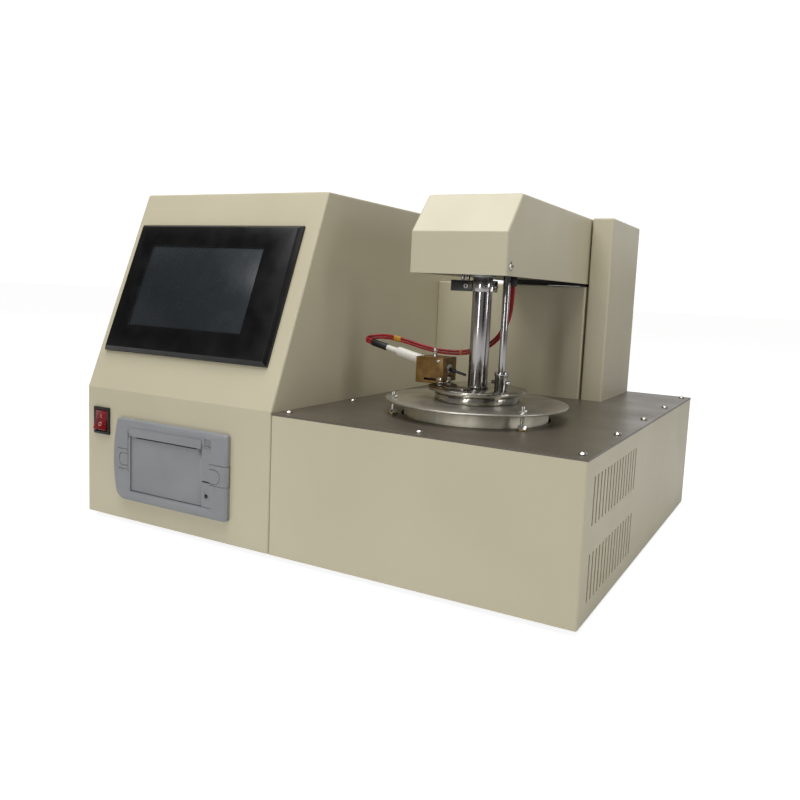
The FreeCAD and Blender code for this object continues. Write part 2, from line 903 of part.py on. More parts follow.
def add_display():
    """Operator panel on the slope: bezel with a recessed screen, and its box behind the sheet."""
    def on_slope(item):
        place(item, display_x, front, fold_z, (1, 0, 0), 1)
        item.setExpression("Placement.Rotation.Angle", slope_angle_text)
        return item

    body = new_body("DisplayHousing")
    rise = size.display_rise
    outer = rectangle(0, rise, size.display_width, rise + size.display_height)
    pad(body, "XY", [outer], 0, size.display_proud)
    bevel(body, size.display_bevel, lambda edge, middle: near(middle.z, size.display_proud))
    window = rectangle(size.screen_left, rise + size.screen_rise,
                       size.screen_left + size.screen_width,
                       rise + size.screen_rise + size.screen_height)
    pocket(body, "XY", [window], size.display_proud - size.screen_recess, size.screen_recess)
    inset = size.display_box_inset
    box = rectangle(inset, rise + inset, size.display_width - inset,
                    rise + size.display_height - inset)
    pad(body, "XY", [box], -size.display_box_depth, size.display_box_depth)
    on_slope(body)
    keep(body, "display_housing")
    glass = new_body("DisplayGlass")
    pad(glass, "XY", [window], size.display_proud - size.screen_recess, size.screen_thickness)
    on_slope(glass)
    keep(glass, "display_glass")


def add_switch():
    body = new_body("SwitchHousing")
    outer = rectangle(0, 0, size.switch_width, size.switch_height)
    pad(body, "XY", [outer], 0, size.switch_proud)
    step = size.switch_step + size.display_cut_gap / 2
    inner = rectangle(step, step, size.switch_width - step, size.switch_height - step)
    pad(body, "XY", [inner], -size.switch_depth, size.switch_depth)
    well = rectangle(size.switch_rim, size.switch_rim, size.switch_width - size.switch_rim,
                     size.switch_height - size.switch_rim)
    pocket(body, "XY", [well], size.switch_proud - size.switch_well_depth,
           size.switch_well_depth)
    pin = circle(size.switch_height / 2, -size.rocker_pivot_depth + size.switch_proud,
                 size.rocker_pin_radius + size.run_gap)
    pocket(body, "YZ", [pin], size.switch_rim - size.rocker_pin_length, size.switch_width
           - (size.switch_rim - size.rocker_pin_length) * 2)
    place(body, switch_x, front, switch_z, (1, 0, 0), 90)
    keep(body, "switch_housing")

    half = size.switch_height / 2 - size.switch_rim - size.rocker_gap
    middle = size.switch_height / 2
    cap = new_body("Rocker")
    ends = [along(half, angle) for angle in ROCKER_END_ANGLES]
    mirrored = [(-across, rise) for across, rise in reversed(ends)]
    side = polygon([*ends, (0, size.rocker_middle_rise), *mirrored])
    width = size.switch_width - size.switch_rim * 2 - size.rocker_gap * 2
    pad(cap, "YZ", [side], -width / 2, width)
    pin_reach = width / 2 + size.rocker_gap + size.rocker_pin_length - size.rocker_gap
    pad(cap, "YZ", [circle(0, 0, size.rocker_pin_radius)], -pin_reach, pin_reach * 2)
    place(cap, switch_x + size.switch_width / 2,
          front - size.switch_proud + size.rocker_pivot_depth, switch_z + middle,
          (1, 0, 0), 90 - ROCKER_TILT_ANGLE)
    keep(cap, "rocker")


def add_printer():
    body = new_body("PrinterFrame")
    width, height = size.printer_width, size.printer_height
    bow = size.printer_bow
    bow_radius = (height * height / 4 + bow * bow) / (bow * 2)
    end_x = bow - size.printer_bow_out
    pad(body, "XY", [rectangle(-size.printer_bow_out, 0, width, height)], 0, size.printer_proud)
    margin = bow + size.overrun
    pocket(body, "XY", [rectangle(-margin, -margin - bow_radius, width + bow_radius * 2,
                                  height + margin + bow_radius),
                        circle(bow_radius - size.printer_bow_out, height / 2, bow_radius)],
           0, size.printer_proud)

    def low_left(edge, middle):
        return upright(edge) and near(middle.x, end_x) and near(middle.y, 0)

    def other_corner(edge, middle):
        at_side = near(middle.x, end_x) or near(middle.x, size.printer_width)
        at_end = near(middle.y, 0) or near(middle.y, size.printer_height)
        return upright(edge) and at_side and at_end

    soften(body, size.printer_corner, low_left)
    soften(body, size.printer_small_corner, other_corner)
    bevel(body, size.printer_bevel, lambda edge, middle: near(middle.z, size.printer_proud))
    inset = size.printer_box_inset
    box = rectangle(inset, inset / 2, size.printer_width - inset, size.printer_height - inset / 2)
    pad(body, "XY", [box], -size.printer_box_depth, size.printer_box_depth)
    door = rectangle(size.door_left - size.door_gap, size.door_rise - size.door_gap,
                     size.door_left + size.door_width + size.door_gap,
                     size.door_rise + size.door_height + size.door_gap)
    pocket(body, "XY", [door], -size.printer_box_depth + size.printer_wall,
           size.printer_box_depth - size.printer_wall + size.printer_proud + size.overrun)
    roll_y = size.door_rise + size.door_height / 2
    pin_length = (size.door_width - size.paper_length) / 2 + size.door_gap + size.paper_pin_length
    for start in (size.door_left - size.door_gap,
                  size.door_left + size.door_width + size.door_gap - pin_length):
        pad(body, "YZ", [circle(roll_y, -size.paper_depth, size.paper_pin_radius)], start,
            pin_length)
    hinge_y = size.door_rise + size.door_foot_gap + size.door_thickness / 2
    hinge_z = size.printer_proud - size.door_recess - size.door_thickness / 2
    pin_start = size.door_left - size.door_gap - size.door_pin_length
    pin_end = size.door_left + size.door_width + size.door_gap + size.door_pin_length
    pocket(body, "YZ", [circle(hinge_y, hinge_z, size.door_pin_radius + size.run_gap)],
           pin_start, pin_end - pin_start)
    button = circle(size.button_out, size.button_rise, size.button_radius + size.button_gap)
    pocket(body, "XY", [button], size.printer_proud - size.button_length,
           size.button_length + size.overrun)
    door_right = size.door_left + size.door_width
    door_top = size.door_rise + size.door_height
    bar_low = door_top + size.door_gap
    bar_left, bar_right = size.door_left, door_right
    tear_bar = polygon([
        (bar_left + size.tear_bar_notch, bar_low), (bar_right, bar_low),
        (bar_right, bar_low + size.tear_bar_height), (bar_left, bar_low + size.tear_bar_height),
        (bar_left, bar_low + size.tear_bar_notch / 2)])
    pad(body, "XY", [tear_bar], size.printer_proud - size.overrun,
        size.tear_bar_proud + size.overrun)
    notch = rectangle(size.notch_left, size.notch_rise, size.notch_left + size.notch_width,
                      size.notch_rise + size.notch_height)
    pocket(body, "XY", [notch], size.printer_proud - size.notch_depth,
           size.notch_depth + size.overrun)
    latch = rectangle(size.latch_slot_left, size.latch_slot_rise,
                      size.latch_slot_left + size.latch_slot_width,
                      size.latch_slot_rise + size.latch_slot_height)
    pocket(body, "XY", [latch], size.printer_proud - size.latch_slot_depth,
           size.latch_slot_depth + size.overrun)
    place(body, printer_x, front, printer_z, (1, 0, 0), 90)
    keep(body, "printer_frame")

    lid = new_body("PrinterDoor")
    face = size.printer_proud - size.door_recess
    slot_low = door_top - size.paper_slot_height
    slot_left, slot_right = size.door_left + size.paper_slot_inset, door_right - size.paper_slot_inset
    leaf = polygon([
        (size.door_left, size.door_rise + size.door_foot_gap),
        (door_right, size.door_rise + size.door_foot_gap), (door_right, door_top),
        (slot_right, door_top), (slot_right, slot_low), (slot_left, slot_low),
        (slot_left, door_top), (size.door_left, door_top)])
    pad(lid, "XY", [leaf], face - size.door_thickness, size.door_thickness)
    pin_inset = size.door_gap
    pad(lid, "YZ", [circle(hinge_y, hinge_z, size.door_pin_radius)], pin_start + pin_inset,
        pin_end - pin_start - pin_inset * 2)
    lug_top = size.door_rise + size.door_height - size.paper_slot_height - size.door_gap
    lug = rectangle(lug_top - size.door_lug_drop * 2, face - size.door_thickness
                    - size.door_lug_reach, lug_top, face - size.door_thickness)
    for start in (size.door_left, size.door_left + size.door_width - size.door_lug_thickness):
        lug_points = lug["points"]
        pad(lid, "YZ", [polygon(lug_points)], start, size.door_lug_thickness)
    platen_y = lug_top - size.door_lug_drop
    platen_z = face - size.door_thickness - size.door_lug_reach / 2
    pin_hole = circle(platen_y, platen_z, size.platen_pin_radius + size.run_gap)
    pocket(lid, "YZ", [pin_hole], size.door_left, size.door_width)
    place(lid, printer_x, front, printer_z, (1, 0, 0), 90)
    keep(lid, "printer_door")

    roller_length = size.door_width - size.door_lug_thickness * 2 - size.run_gap * 2
    roller_x = printer_x + size.door_left + size.door_lug_thickness + size.run_gap
    roller_y = front - platen_z
    roller_z = printer_z + platen_y
    roller = rod(size.platen_radius, roller_x, roller_y, roller_z, roller_length, "X")
    axle = rod(size.platen_pin_radius, roller_x - size.door_lug_thickness, roller_y, roller_z,
               roller_length + size.door_lug_thickness * 2, "X")
    keep(join(roller, axle), "platen_roller")

    paper_x = printer_x + size.door_left + (size.door_width - size.paper_length) / 2
    paper_y = front + size.paper_depth
    paper_z = printer_z + size.door_rise + size.door_height / 2
    roll = rod(size.paper_radius, paper_x, paper_y, paper_z, size.paper_length, "X")
    core = rod(size.paper_core_radius, paper_x, paper_y, paper_z, size.paper_length, "X")
    keep(carve(roll, core), "paper_roll")

    stem = rod(size.button_radius, printer_x + size.button_out, front - size.printer_proud,
               printer_z + size.button_rise, size.button_length - size.button_travel, "Y")
    keep(stem, "feed_button")


def add_bath():
    ring = new_body("BathRing")
    loops = [circle(0, 0, size.ring_radius), circle(0, 0, size.ring_bore_radius)]
    for angle in STUD_ANGLES:
        x, y = along(size.stud_circle_radius, angle)
        loops.append(circle(x, y, size.stud_radius + size.screw_hole_gap))
    pad(ring, "XY", loops, ring_under, size.ring_thickness)
    place(ring, bath_x, bath_y)
    keep(ring, "bath_ring")

    studs = []
    for x, y in stud_places():
        low = deck_under - size.nut_height
        pin = rod(size.stud_radius, x, y, low, ring_top + size.nut_height + size.stud_tip - low
                  - size.nut_height / 2)
        pieces = [pin, nut(x, y, ring_top), nut(x, y, deck_top + size.washer_thickness),
                  rod(size.washer_radius, x, y, deck_top, size.washer_thickness),
                  nut(x, y, deck_under - size.nut_height)]
        studs.append(join(*pieces))
    keep(group(studs), "ring_studs")

    jacket = new_body("BathJacket")
    low = ring_under - size.jacket_depth
    radius, wall = size.jacket_radius, size.jacket_wall
    turned(jacket, [(0, low), (radius, low), (radius, ring_under), (radius - wall, ring_under),
                    (radius - wall, low + wall), (0, low + wall)])
    place(jacket, bath_x, bath_y)
    keep(jacket, "bath_jacket")

    bore = size.cup_outer_radius + size.cup_air_gap
    cup_under = cup_top - size.cup_depth - size.cup_floor
    well = cup_under - size.cup_air_gap
    heater = new_body("HeaterBlock")
    turned(heater, [(0, well - size.heater_floor), (size.heater_radius, well - size.heater_floor),
                    (size.heater_radius, ring_under), (bore, ring_under), (bore, well), (0, well)])
    place(heater, bath_x, bath_y)
    keep(heater, "heater_block")

    band_low = well - size.heater_floor + size.heater_band_rise
    band_in = size.heater_radius + size.run_gap
    band = tube(band_in + size.heater_band_width, band_in, bath_x, bath_y, band_low,
                size.heater_band_height)
    keep(band, "heater_band")

    seat = tube(size.seat_radius, bore, bath_x, bath_y, ring_top, size.seat_height)
    keep(seat, "cup_seat")

    cup = new_body("SampleCup")
    inside = cup_top - size.cup_depth
    turned(cup, [(0, cup_under), (size.cup_outer_radius, cup_under),
                 (size.cup_outer_radius, seat_top), (size.cup_flange_radius, seat_top),
                 (size.cup_flange_radius, cup_top), (size.cup_bore_radius, cup_top),
                 (size.cup_bore_radius, inside), (0, inside)])
    place(cup, bath_x, bath_y)
    keep(cup, "sample_cup")


def stud_places():
    places = []
    for angle in STUD_ANGLES:
        x, y = along(size.stud_circle_radius, angle)
        places.append((bath_x + x, bath_y + y))
    return places


def nut(x, y, z):
    item = doc.addObject("Part::Prism", "Nut")
    item.Polygon = NUT_SIDES
    bind(item, "Circumradius", size.nut_across / (2 * math.cos(math.pi / NUT_SIDES)))
    bind(item, "Height", size.nut_height)
    return place(item, x, y, z)


def add_rear_covers():
    low, high = deck_top, cover_top
    cover = new_body("LiftCover")
    pad(cover, "XY", [rectangle(base_left, cover_front_y, cover_right, cover_back_y)],
        low, high - low)
    soften(cover, size.fold_radius,
           lambda edge, middle: not near(middle.z, low) and not near(middle.x, base_left))
    pocket(cover, "XY", [rectangle(base_left + size.wall, cover_front_y + size.wall,
                                   cover_right - size.wall, cover_back_y - size.wall)],
           low, high - low - size.wall)
    holes = [circle(head_middle_x + spread, rod_y, size.rod_radius + size.run_gap * 3)
             for spread in (-size.rod_spread, size.rod_spread)]
    pocket(cover, "XY", holes, high - size.wall, size.wall)
    keep(cover, "lift_cover")

    tower_left = cover_right + size.tower_gap
    tower_right = tower_left + size.tower_width
    tower_front_y = cover_back_y - size.tower_depth
    tower = new_body("TowerCover")
    pad(tower, "XY", [rectangle(tower_left, tower_front_y, tower_right, cover_back_y)],
        low, console_top - low)
    soften(tower, size.fold_radius, lambda edge, middle: not near(middle.z, low))
    pocket(tower, "XY", [rectangle(tower_left + size.wall, tower_front_y + size.wall,
                                   tower_right - size.wall, cover_back_y - size.wall)],
           low, console_top - low - size.wall)
    keep(tower, "tower_cover")


def add_lift():
    frame = new_body("LiftFrame")
    half = size.frame_width / 2
    depth = size.frame_depth
    x = head_middle_x
    y0 = rod_y - depth / 2
    outline = polygon([(x - half, deck_top), (x + half, deck_top), (x + half, guide_top),
                       (x - half, guide_top)])
    pad(frame, "XZ", [outline], y0, depth)
    hollow = rectangle(x - half + size.frame_post, frame_base_top, x + half - size.frame_post,
                       guide_under)
    pocket(frame, "XZ", [hollow], y0, depth)
    guides = [circle(x + spread, rod_y, size.rod_radius + size.run_gap)
              for spread in (-size.rod_spread, size.rod_spread)]
    guides.append(circle(x, rod_y, size.screw_radius + size.run_gap))
    pocket(frame, "XY", guides, guide_under, size.frame_top)
    pocket(frame, "XY", [circle(x, rod_y, size.coupling_bore_radius)], deck_top,
           size.frame_foot)
    keep(frame, "lift_frame")

    motor = new_body("LiftMotor")
    side = size.motor_side / 2
    pad(motor, "XY", [rectangle(x - side, rod_y - side, x + side, rod_y + side)],
        deck_under - size.motor_height, size.motor_height)
    bevel(motor, size.motor_corner, lambda edge, middle: upright(edge))
    keep(motor, "lift_motor")

    coupling_low = deck_under + size.run_gap
    coupling = rod(size.coupling_radius, x, rod_y, coupling_low,
                   carriage_under - size.overrun - coupling_low)
    spindle = rod(size.screw_radius, x, rod_y, coupling_low,
                  guide_top - size.overrun - coupling_low)
    keep(join(coupling, spindle), "lead_screw")

    carriage = new_body("LiftCarriage")
    wide, deep = size.carriage_width / 2, size.carriage_depth / 2
    pad(carriage, "XY", [rectangle(x - wide, rod_y - deep, x + wide, rod_y + deep),
                         circle(x, rod_y, size.screw_radius + size.run_gap)],
        carriage_under, size.carriage_height)
    keep(carriage, "lift_carriage")
    rods = [rod(size.rod_radius, x + spread, rod_y, carriage_top, plate_under - carriage_top)
            for spread in (-size.rod_spread, size.rod_spread)]
    keep(group(rods), "guide_rods")


def add_head():
    side = polygon([
        (head_front_y, head_under), (head_back_y, head_under), (head_back_y, head_top),
        (head_front_y + size.head_setback, head_top),
        (head_front_y, head_under + size.head_fold_rise)])
    rise = size.head_height - size.head_fold_rise
    slant = diagonal(size.head_setback, rise)
    wall = size.wall
    inner_fold = head_under + size.head_fold_rise - wall * (slant - rise) / size.head_setback
    inner_top_y = head_front_y + size.head_setback + wall * slant / rise \
        - wall * size.head_setback / rise
    hollow = polygon([
        (head_front_y + wall, head_under), (head_back_y - wall, head_under),
        (head_back_y - wall, head_top - wall), (inner_top_y, head_top - wall),
        (head_front_y + wall, inner_fold)])
    cover = new_body("HeadCover")
    width = head_right - head_left
    pad(cover, "YZ", [side], head_left, width)
    soften(cover, size.fold_radius, lambda edge, middle: not near(middle.z, head_under))
    pocket(cover, "YZ", [hollow], head_left + wall, width - wall * 2)
    hole_radius = size.screw_shank_radius + size.screw_hole_gap
    front_hole, back_hole = [circle(y, head_screw_z, hole_radius) for y in head_screw_ys]
    pocket(cover, "YZ", [front_hole], head_left, width)
    pocket(cover, "YZ", [back_hole], head_left, wall)
    keep(cover, "head_cover")

    plate = new_body("HeadPlate")
    gap = size.fit_gap
    pad(plate, "XY", [
        rectangle(head_left + wall + gap, head_front_y + wall + gap, head_right - wall - gap,
                  head_back_y - wall - gap),
        circle(bath_x, bath_y, size.column_radius + size.run_gap)],
        plate_under, size.head_plate_thickness)
    for x in (head_left + wall + gap, head_right - wall * 2 - gap):
        flange = rectangle(head_front_y + wall + gap, plate_top, head_back_y - wall - gap,
                           plate_under + size.head_flange_height)
        pad(plate, "YZ", [flange], x, wall)
    pocket(plate, "YZ", [front_hole], head_left, width)
    pocket(plate, "YZ", [back_hole], head_left, wall * 3)
    keep(plate, "head_plate")

    screws = []
    shank = wall * 2 + gap
    front_y, back_y = head_screw_ys
    for x, y, side in ((head_right, front_y, 1), (head_left, front_y, -1),
                       (head_left, back_y, -1)):
        screws.append(side_screw(x, y, head_screw_z, shank, side))
    keep(group(screws), "head_screws")

    bearing = tube(size.bearing_radius, size.column_radius + size.run_gap, bath_x, bath_y,
                   plate_under - size.bearing_thickness, size.bearing_thickness)
    keep(bearing, "column_bearing")

    gearbox = new_body("ShutterMotor")
    reach = size.shutter_motor_side / 2
    pad(gearbox, "XY", [rectangle(-reach, -reach, reach, reach),
                        circle(0, 0, size.column_radius + size.run_gap)],
        plate_top, size.shutter_motor_height)
    soften(gearbox, size.motor_corner, lambda edge, middle: upright(edge))
    place(gearbox, bath_x, bath_y)
    keep(gearbox, "shutter_motor")

    motor_low = plate_top + size.shutter_motor_height
    flange = rod(size.stirrer_flange_radius, bath_x, bath_y, motor_low,
                 size.stirrer_flange_height)
    can = rod(size.stirrer_motor_radius, bath_x, bath_y, motor_low, size.stirrer_motor_height)
    keep(join(flange, can), "stirrer_motor")

    coil = block(bath_x - size.coil_width / 2, bath_y + size.coil_behind, plate_top,
                 size.coil_width, size.coil_depth, size.coil_height)
    keep(coil, "spark_coil")

    gland = rod(size.gland_radius, bath_x + size.gland_out, bath_y + size.gland_behind,
                plate_under - size.gland_drop, size.gland_drop)
    keep(gland, "lead_gland")

    post_x = bath_x + size.post_offset
    clamp_top = lid_top + size.post_clamp_height
    post = rod(size.post_radius, post_x, bath_y, lid_top, plate_under - lid_top)
    keep(post, "lid_post")
    bore = size.post_radius + size.fit_gap
    boss = tube(size.post_clamp_radius, bore, post_x, bath_y, lid_top, size.post_clamp_height)
    ring = tube(size.post_ring_radius, bore, post_x, bath_y, clamp_top, size.post_ring_height)
    pieces = [boss, ring]
    reach = size.post_clamp_radius - size.overrun
    for start in (post_x + reach, post_x - reach - size.set_screw_length):
        pieces.append(rod(size.set_screw_radius, start, bath_y, lid_top + size.set_screw_rise,
                          size.set_screw_length, "X"))
    keep(join(*pieces), "post_clamp")

    probe_y = bath_y + size.probe_offset
    probe_low = cup_top - size.probe_dip
    keep(rod(size.probe_radius, bath_x, probe_y, probe_low, plate_under - probe_low),
         "temperature_probe")


def add_lid():
    lid = new_body("Lid")
    port_x, port_y = along(size.port_circle_radius, PORT_ANGLE)
    pad(lid, "XY", [circle(0, 0, size.lid_radius),
                    circle(0, 0, size.shaft_radius + size.run_gap),
                    circle(port_x, port_y, size.port_radius),
                    circle(0, size.probe_offset, size.probe_radius + size.fit_gap)],
        cup_top, size.lid_thickness)
    place(lid, bath_x, bath_y)
    keep(lid, "lid")

    wedge = rod(size.shutter_radius, 0, 0, shutter_under, size.shutter_thickness)
    wedge.Angle = SHUTTER_SPAN_ANGLE
    wedge.Placement.Rotation = Rotation(Vector(0, 0, 1), SHUTTER_START_ANGLE)
    hub = rod(size.collar_radius, 0, 0, shutter_under,
              size.shutter_thickness + size.shutter_hub_rise)
    window_x, window_y = along(size.port_circle_radius, SHUTTER_WINDOW_ANGLE)
    window = rod(size.shutter_window_radius, window_x, window_y, shutter_under - size.overrun,
                 size.shutter_thickness + size.shutter_hub_rise + size.overrun * 2)
    bore = rod(size.shaft_radius + size.run_gap, 0, 0, shutter_under - size.overrun,
               size.shutter_thickness + size.shutter_hub_rise + size.overrun * 2)
    shutter = carve(join(wedge, hub), join(window, bore))
    keep(place(shutter, bath_x, bath_y), "shutter")

    column_top = plate_top + size.column_top_reach
    keep(tube(size.column_radius, size.column_bore_radius, bath_x, bath_y, column_foot,
              column_top - column_foot), "column_tube")

    collar_top = plate_under - size.collar_drop
    collar_low = collar_top - size.collar_height
    ring = tube(size.collar_radius, size.column_radius + size.fit_gap, bath_x, bath_y,
                collar_low, size.collar_height)
    ear = block(bath_x + size.collar_radius - size.overrun / 2,
                bath_y - size.collar_ear_width / 2, collar_low,
                size.collar_ear_thickness + size.overrun / 2, size.collar_ear_width,
                size.collar_height)
    keep(join(ring, ear), "column_collar")

    bar = block(bath_x - size.lever_length, bath_y - size.lever_width / 2, collar_low,
                size.lever_length, size.lever_width, size.lever_height)
    hole = rod(size.collar_radius + size.fit_gap, bath_x, bath_y, collar_low - size.overrun,
               size.collar_height + size.overrun * 2)
    screw = rod(size.lever_screw_radius, bath_x - size.lever_screw_out,
                bath_y - size.lever_width / 2 - size.pivot_head_height,
                collar_low + size.lever_height / 2, size.pivot_head_height, "Y")
    keep(join(carve(bar, hole), screw), "shutter_lever")

    pins = [rod(size.stop_pin_radius, bath_x - out, bath_y,
                collar_low + size.lever_height + size.run_gap,
                plate_under - collar_low - size.lever_height - size.run_gap)
            for out in (size.stop_pin_first, size.stop_pin_second)]
    keep(group(pins), "stop_pins")


def add_stirrer():
    top = plate_top + size.shutter_motor_height - size.run_gap
    low = cup_top - size.lower_blade_drop - size.blade_height
    pieces = [rod(size.shaft_radius, bath_x, bath_y, low, top - low)]
    for reach, drop in ((size.upper_blade_radius, size.upper_blade_drop),
                        (size.lower_blade_radius, size.lower_blade_drop)):
        level = cup_top - drop
        pieces.append(rod(size.blade_hub_radius, bath_x, bath_y, level - size.blade_height,
                          size.blade_height))
        for number in range(STIRRER_BLADES):
            blade = doc.addObject("Part::Box", "Blade")
            bind(blade, "Length", reach)
            bind(blade, "Width", size.blade_thickness)
            bind(blade, "Height", size.blade_height)
            turn = Rotation(Vector(0, 0, 1), 360 / STIRRER_BLADES * number)
            pitch = Rotation(Vector(1, 0, 0), BLADE_PITCH_ANGLE)
            place(blade, bath_x, bath_y, level - size.blade_height)
            blade.Placement.Rotation = turn.multiply(pitch)
            pieces.append(blade)
    keep(join(*pieces), "stirrer")


def add_igniter():
    out, length = size.igniter_reach, size.igniter_length
    low = lid_top + size.igniter_bottom
    low_right = lid_top + size.igniter_bottom_right
    high = lid_top + size.igniter_top
    half = size.igniter_depth / 2
    body = new_body("IgniterBlock")
    side = polygon([(-out, low), (-out + size.igniter_flat, low), (-out + length, low_right),
                    (-out + length, high), (-out, high)])
    pad(body, "XZ", [side], -half, size.igniter_depth)
    slot_left = size.overrun - size.lid_radius - size.run_gap
    slot = rectangle(slot_left, lid_top,
                     -out + length + size.overrun, pivot_z + size.tongue_radius + size.run_gap)
    pocket(body, "XZ", [slot], -size.igniter_slot_width / 2, size.igniter_slot_width)
    pin = circle(-size.pivot_out, pivot_z, size.pivot_pin_radius + size.run_gap)
    pocket(body, "XZ", [pin], -half, size.igniter_depth)
    mark = rectangle(-size.slot_mark_left, lid_top + size.slot_mark_rise,
                     -size.slot_mark_right,
                     lid_top + size.slot_mark_rise + size.slot_mark_height)
    pocket(body, "XZ", [mark], -half, size.slot_mark_depth)
    feature = body.newObject("PartDesign::Pocket", "CeramicBore")
    feature.Profile = axis_sketch(body, size.ceramic_radius + size.fit_gap)
    feature.Type = "ThroughAll"
    feature.Midplane = True
    ball_height = size.terminal_ball_radius * 2 - size.overrun
    for radius, level, tall in (
            (size.terminal_radius, high, size.terminal_height),
            (size.terminal_nut_radius, high, size.terminal_nut_height),
            (size.terminal_ball_radius, high + size.terminal_height - ball_height, ball_height)):
        pad(body, "XY", [circle(-size.terminal_out, 0, radius)], level, tall)
    soften(body, size.terminal_round, lambda edge, middle: isinstance(edge.Curve, Part.Circle)
           and near(edge.Curve.Radius, size.terminal_ball_radius))
    pad(body, "XZ", [circle(-size.face_screw_out, high - size.face_screw_drop,
                            size.face_screw_radius)],
        -half - size.face_screw_height, size.face_screw_height)
    place(body, bath_x, bath_y)
    keep(body, "igniter_block")

    start = -size.ceramic_length + length
    ceramic = new_body("IgniterInsulator")
    neck_end = start - size.neck_length
    round_end = size.ceramic_round
    turned(ceramic, [(size.electrode_radius, length + size.ceramic_proud),
                     (size.ceramic_radius, length + size.ceramic_proud),
                     (size.ceramic_radius, start + round_end),
                     (size.ceramic_radius - round_end, start), (size.neck_radius, start),
                     (size.neck_radius, neck_end), (size.electrode_radius, neck_end)])
    keep(on_axis(ceramic), "igniter_insulator")

    wire = new_body("IgniterElectrode")
    face = length + size.ceramic_proud
    tip = face + size.electrode_length
    turned(wire, [(0, neck_end), (size.electrode_radius, neck_end),
                  (size.electrode_radius, face), (size.electrode_collar_radius, face),
                  (size.electrode_collar_radius, face + size.electrode_collar_length),
                  (size.electrode_radius, face + size.electrode_collar_length),
                  (size.electrode_radius, tip), (0, tip)])
    keep(on_axis(wire), "igniter_electrode")

    boot = new_body("IgniterBoot")
    boot_end = neck_end - size.boot_length
    lap_end = neck_end + size.boot_lap
    rim = size.boot_round
    turned(boot, [(0, boot_end), (size.boot_radius - rim / 2, boot_end),
                  (size.boot_radius, boot_end + rim), (size.boot_radius, lap_end),
                  (size.neck_radius, lap_end), (size.neck_radius, neck_end), (0, neck_end)])
    keep(on_axis(boot), "igniter_boot")

    foot_left = -size.lid_radius + size.overrun
    foot = block(bath_x + foot_left, bath_y - size.tongue_width / 2, lid_top,
                 -size.shutter_radius - size.run_gap - foot_left, size.tongue_width,
                 size.bracket_foot_thickness)
    arm_low = shutter_top + size.run_gap
    arm = block(bath_x - size.pivot_out - size.tongue_radius, bath_y - size.tongue_width / 2,
                arm_low, size.tongue_radius * 2, size.tongue_width, pivot_z - arm_low)
    eye = rod(size.tongue_radius, pivot_x, bath_y - size.tongue_width / 2, pivot_z,
              size.tongue_width, "Y")
    pin = rod(size.pivot_pin_radius, pivot_x, bath_y - half - size.run_gap, pivot_z,
              size.igniter_depth + size.run_gap * 2, "Y")
    heads = [rod(size.pivot_head_radius, pivot_x, y, pivot_z, size.pivot_head_height, "Y")
             for y in (bath_y - half - size.run_gap - size.pivot_head_height,
                       bath_y + half + size.run_gap)]
    keep(join(foot, arm, eye, pin, *heads), "igniter_bracket")


def axis_tilt_text():
    return f"90 deg + atan({size.axis_drop.text} / {size.axis_run.text})"


def on_axis(item):
    """Lay a turned piece along the igniter's tilted axis, its zero at the block's left face."""
    rise = size.igniter_length * size.axis_drop / size.axis_run
    place(item, bath_x - size.igniter_reach, bath_y, lid_top + size.axis_height + rise,
          (0, 1, 0), 1)
    item.setExpression("Placement.Rotation.Angle", axis_tilt_text())
    return item


def axis_sketch(body, radius):
    """A circle square to the igniter's tilted axis, where that axis enters the block."""
    sketch = new_sketch(body, "XY", [circle(0, 0, radius)])
    sketch.AttachmentOffset = Placement(Vector(0, 0, 0), Rotation(Vector(0, 1, 0), 1))
    rise = size.igniter_length * size.axis_drop / size.axis_run
    bind(sketch, "AttachmentOffset.Base.x", -size.igniter_reach)
    bind(sketch, "AttachmentOffset.Base.z", lid_top + size.axis_height + rise)
    sketch.setExpression("AttachmentOffset.Rotation.Angle", axis_tilt_text())
    return sketch


def add_fan():
    x = base_right - size.fan_inset
    z = (floor + deck_under) / 2
    y = back - size.wall - size.fan_depth
    half = size.fan_side / 2
    body = new_body("FanFrame")
    pad(body, "XZ", [rectangle(x - half, z - half, x + half, z + half),
                     circle(x, z, size.fan_bore_radius)], y, size.fan_depth)
    strut_y = back - size.wall - size.fan_strut_depth
    wide = size.fan_strut_width / 2
    reach = size.fan_bore_radius + size.overrun
    pad(body, "XZ", [rectangle(x - reach, z - wide, x + reach, z + wide)], strut_y,
        size.fan_strut_depth)
    pad(body, "XZ", [rectangle(x - wide, z - reach, x + wide, z + reach)], strut_y,
        size.fan_strut_depth)
    pad(body, "XZ", [circle(x, z, size.fan_hub_radius)], strut_y, size.fan_strut_depth)
    keep(body, "fan_frame")

    depth = size.fan_depth - size.fan_strut_depth - size.run_gap
    pieces = [rod(size.fan_hub_radius, x, y, z, depth, "Y")]
    root = size.fan_hub_radius - size.fan_blade_gap
    for number in range(FAN_BLADE_COUNT):
        blade = doc.addObject("Part::Box", "FanBlade")
        bind(blade, "Length", size.fan_bore_radius - size.fan_blade_gap * 2 - root)
        bind(blade, "Width", size.fan_blade_depth)
        bind(blade, "Height", size.fan_blade_thickness)
        angle = 360 / FAN_BLADE_COUNT * (number + HALF_STEP_SHARE)
        spin = Rotation(Vector(0, 1, 0), angle)
        pitch = Rotation(Vector(1, 0, 0), BLADE_PITCH_ANGLE)
        across, down = along(root, angle)
        place(blade, x + across, y + size.fan_blade_gap, z - down)
        blade.Placement.Rotation = spin.multiply(pitch)
        pieces.append(blade)
    keep(join(*pieces), "fan_impeller")


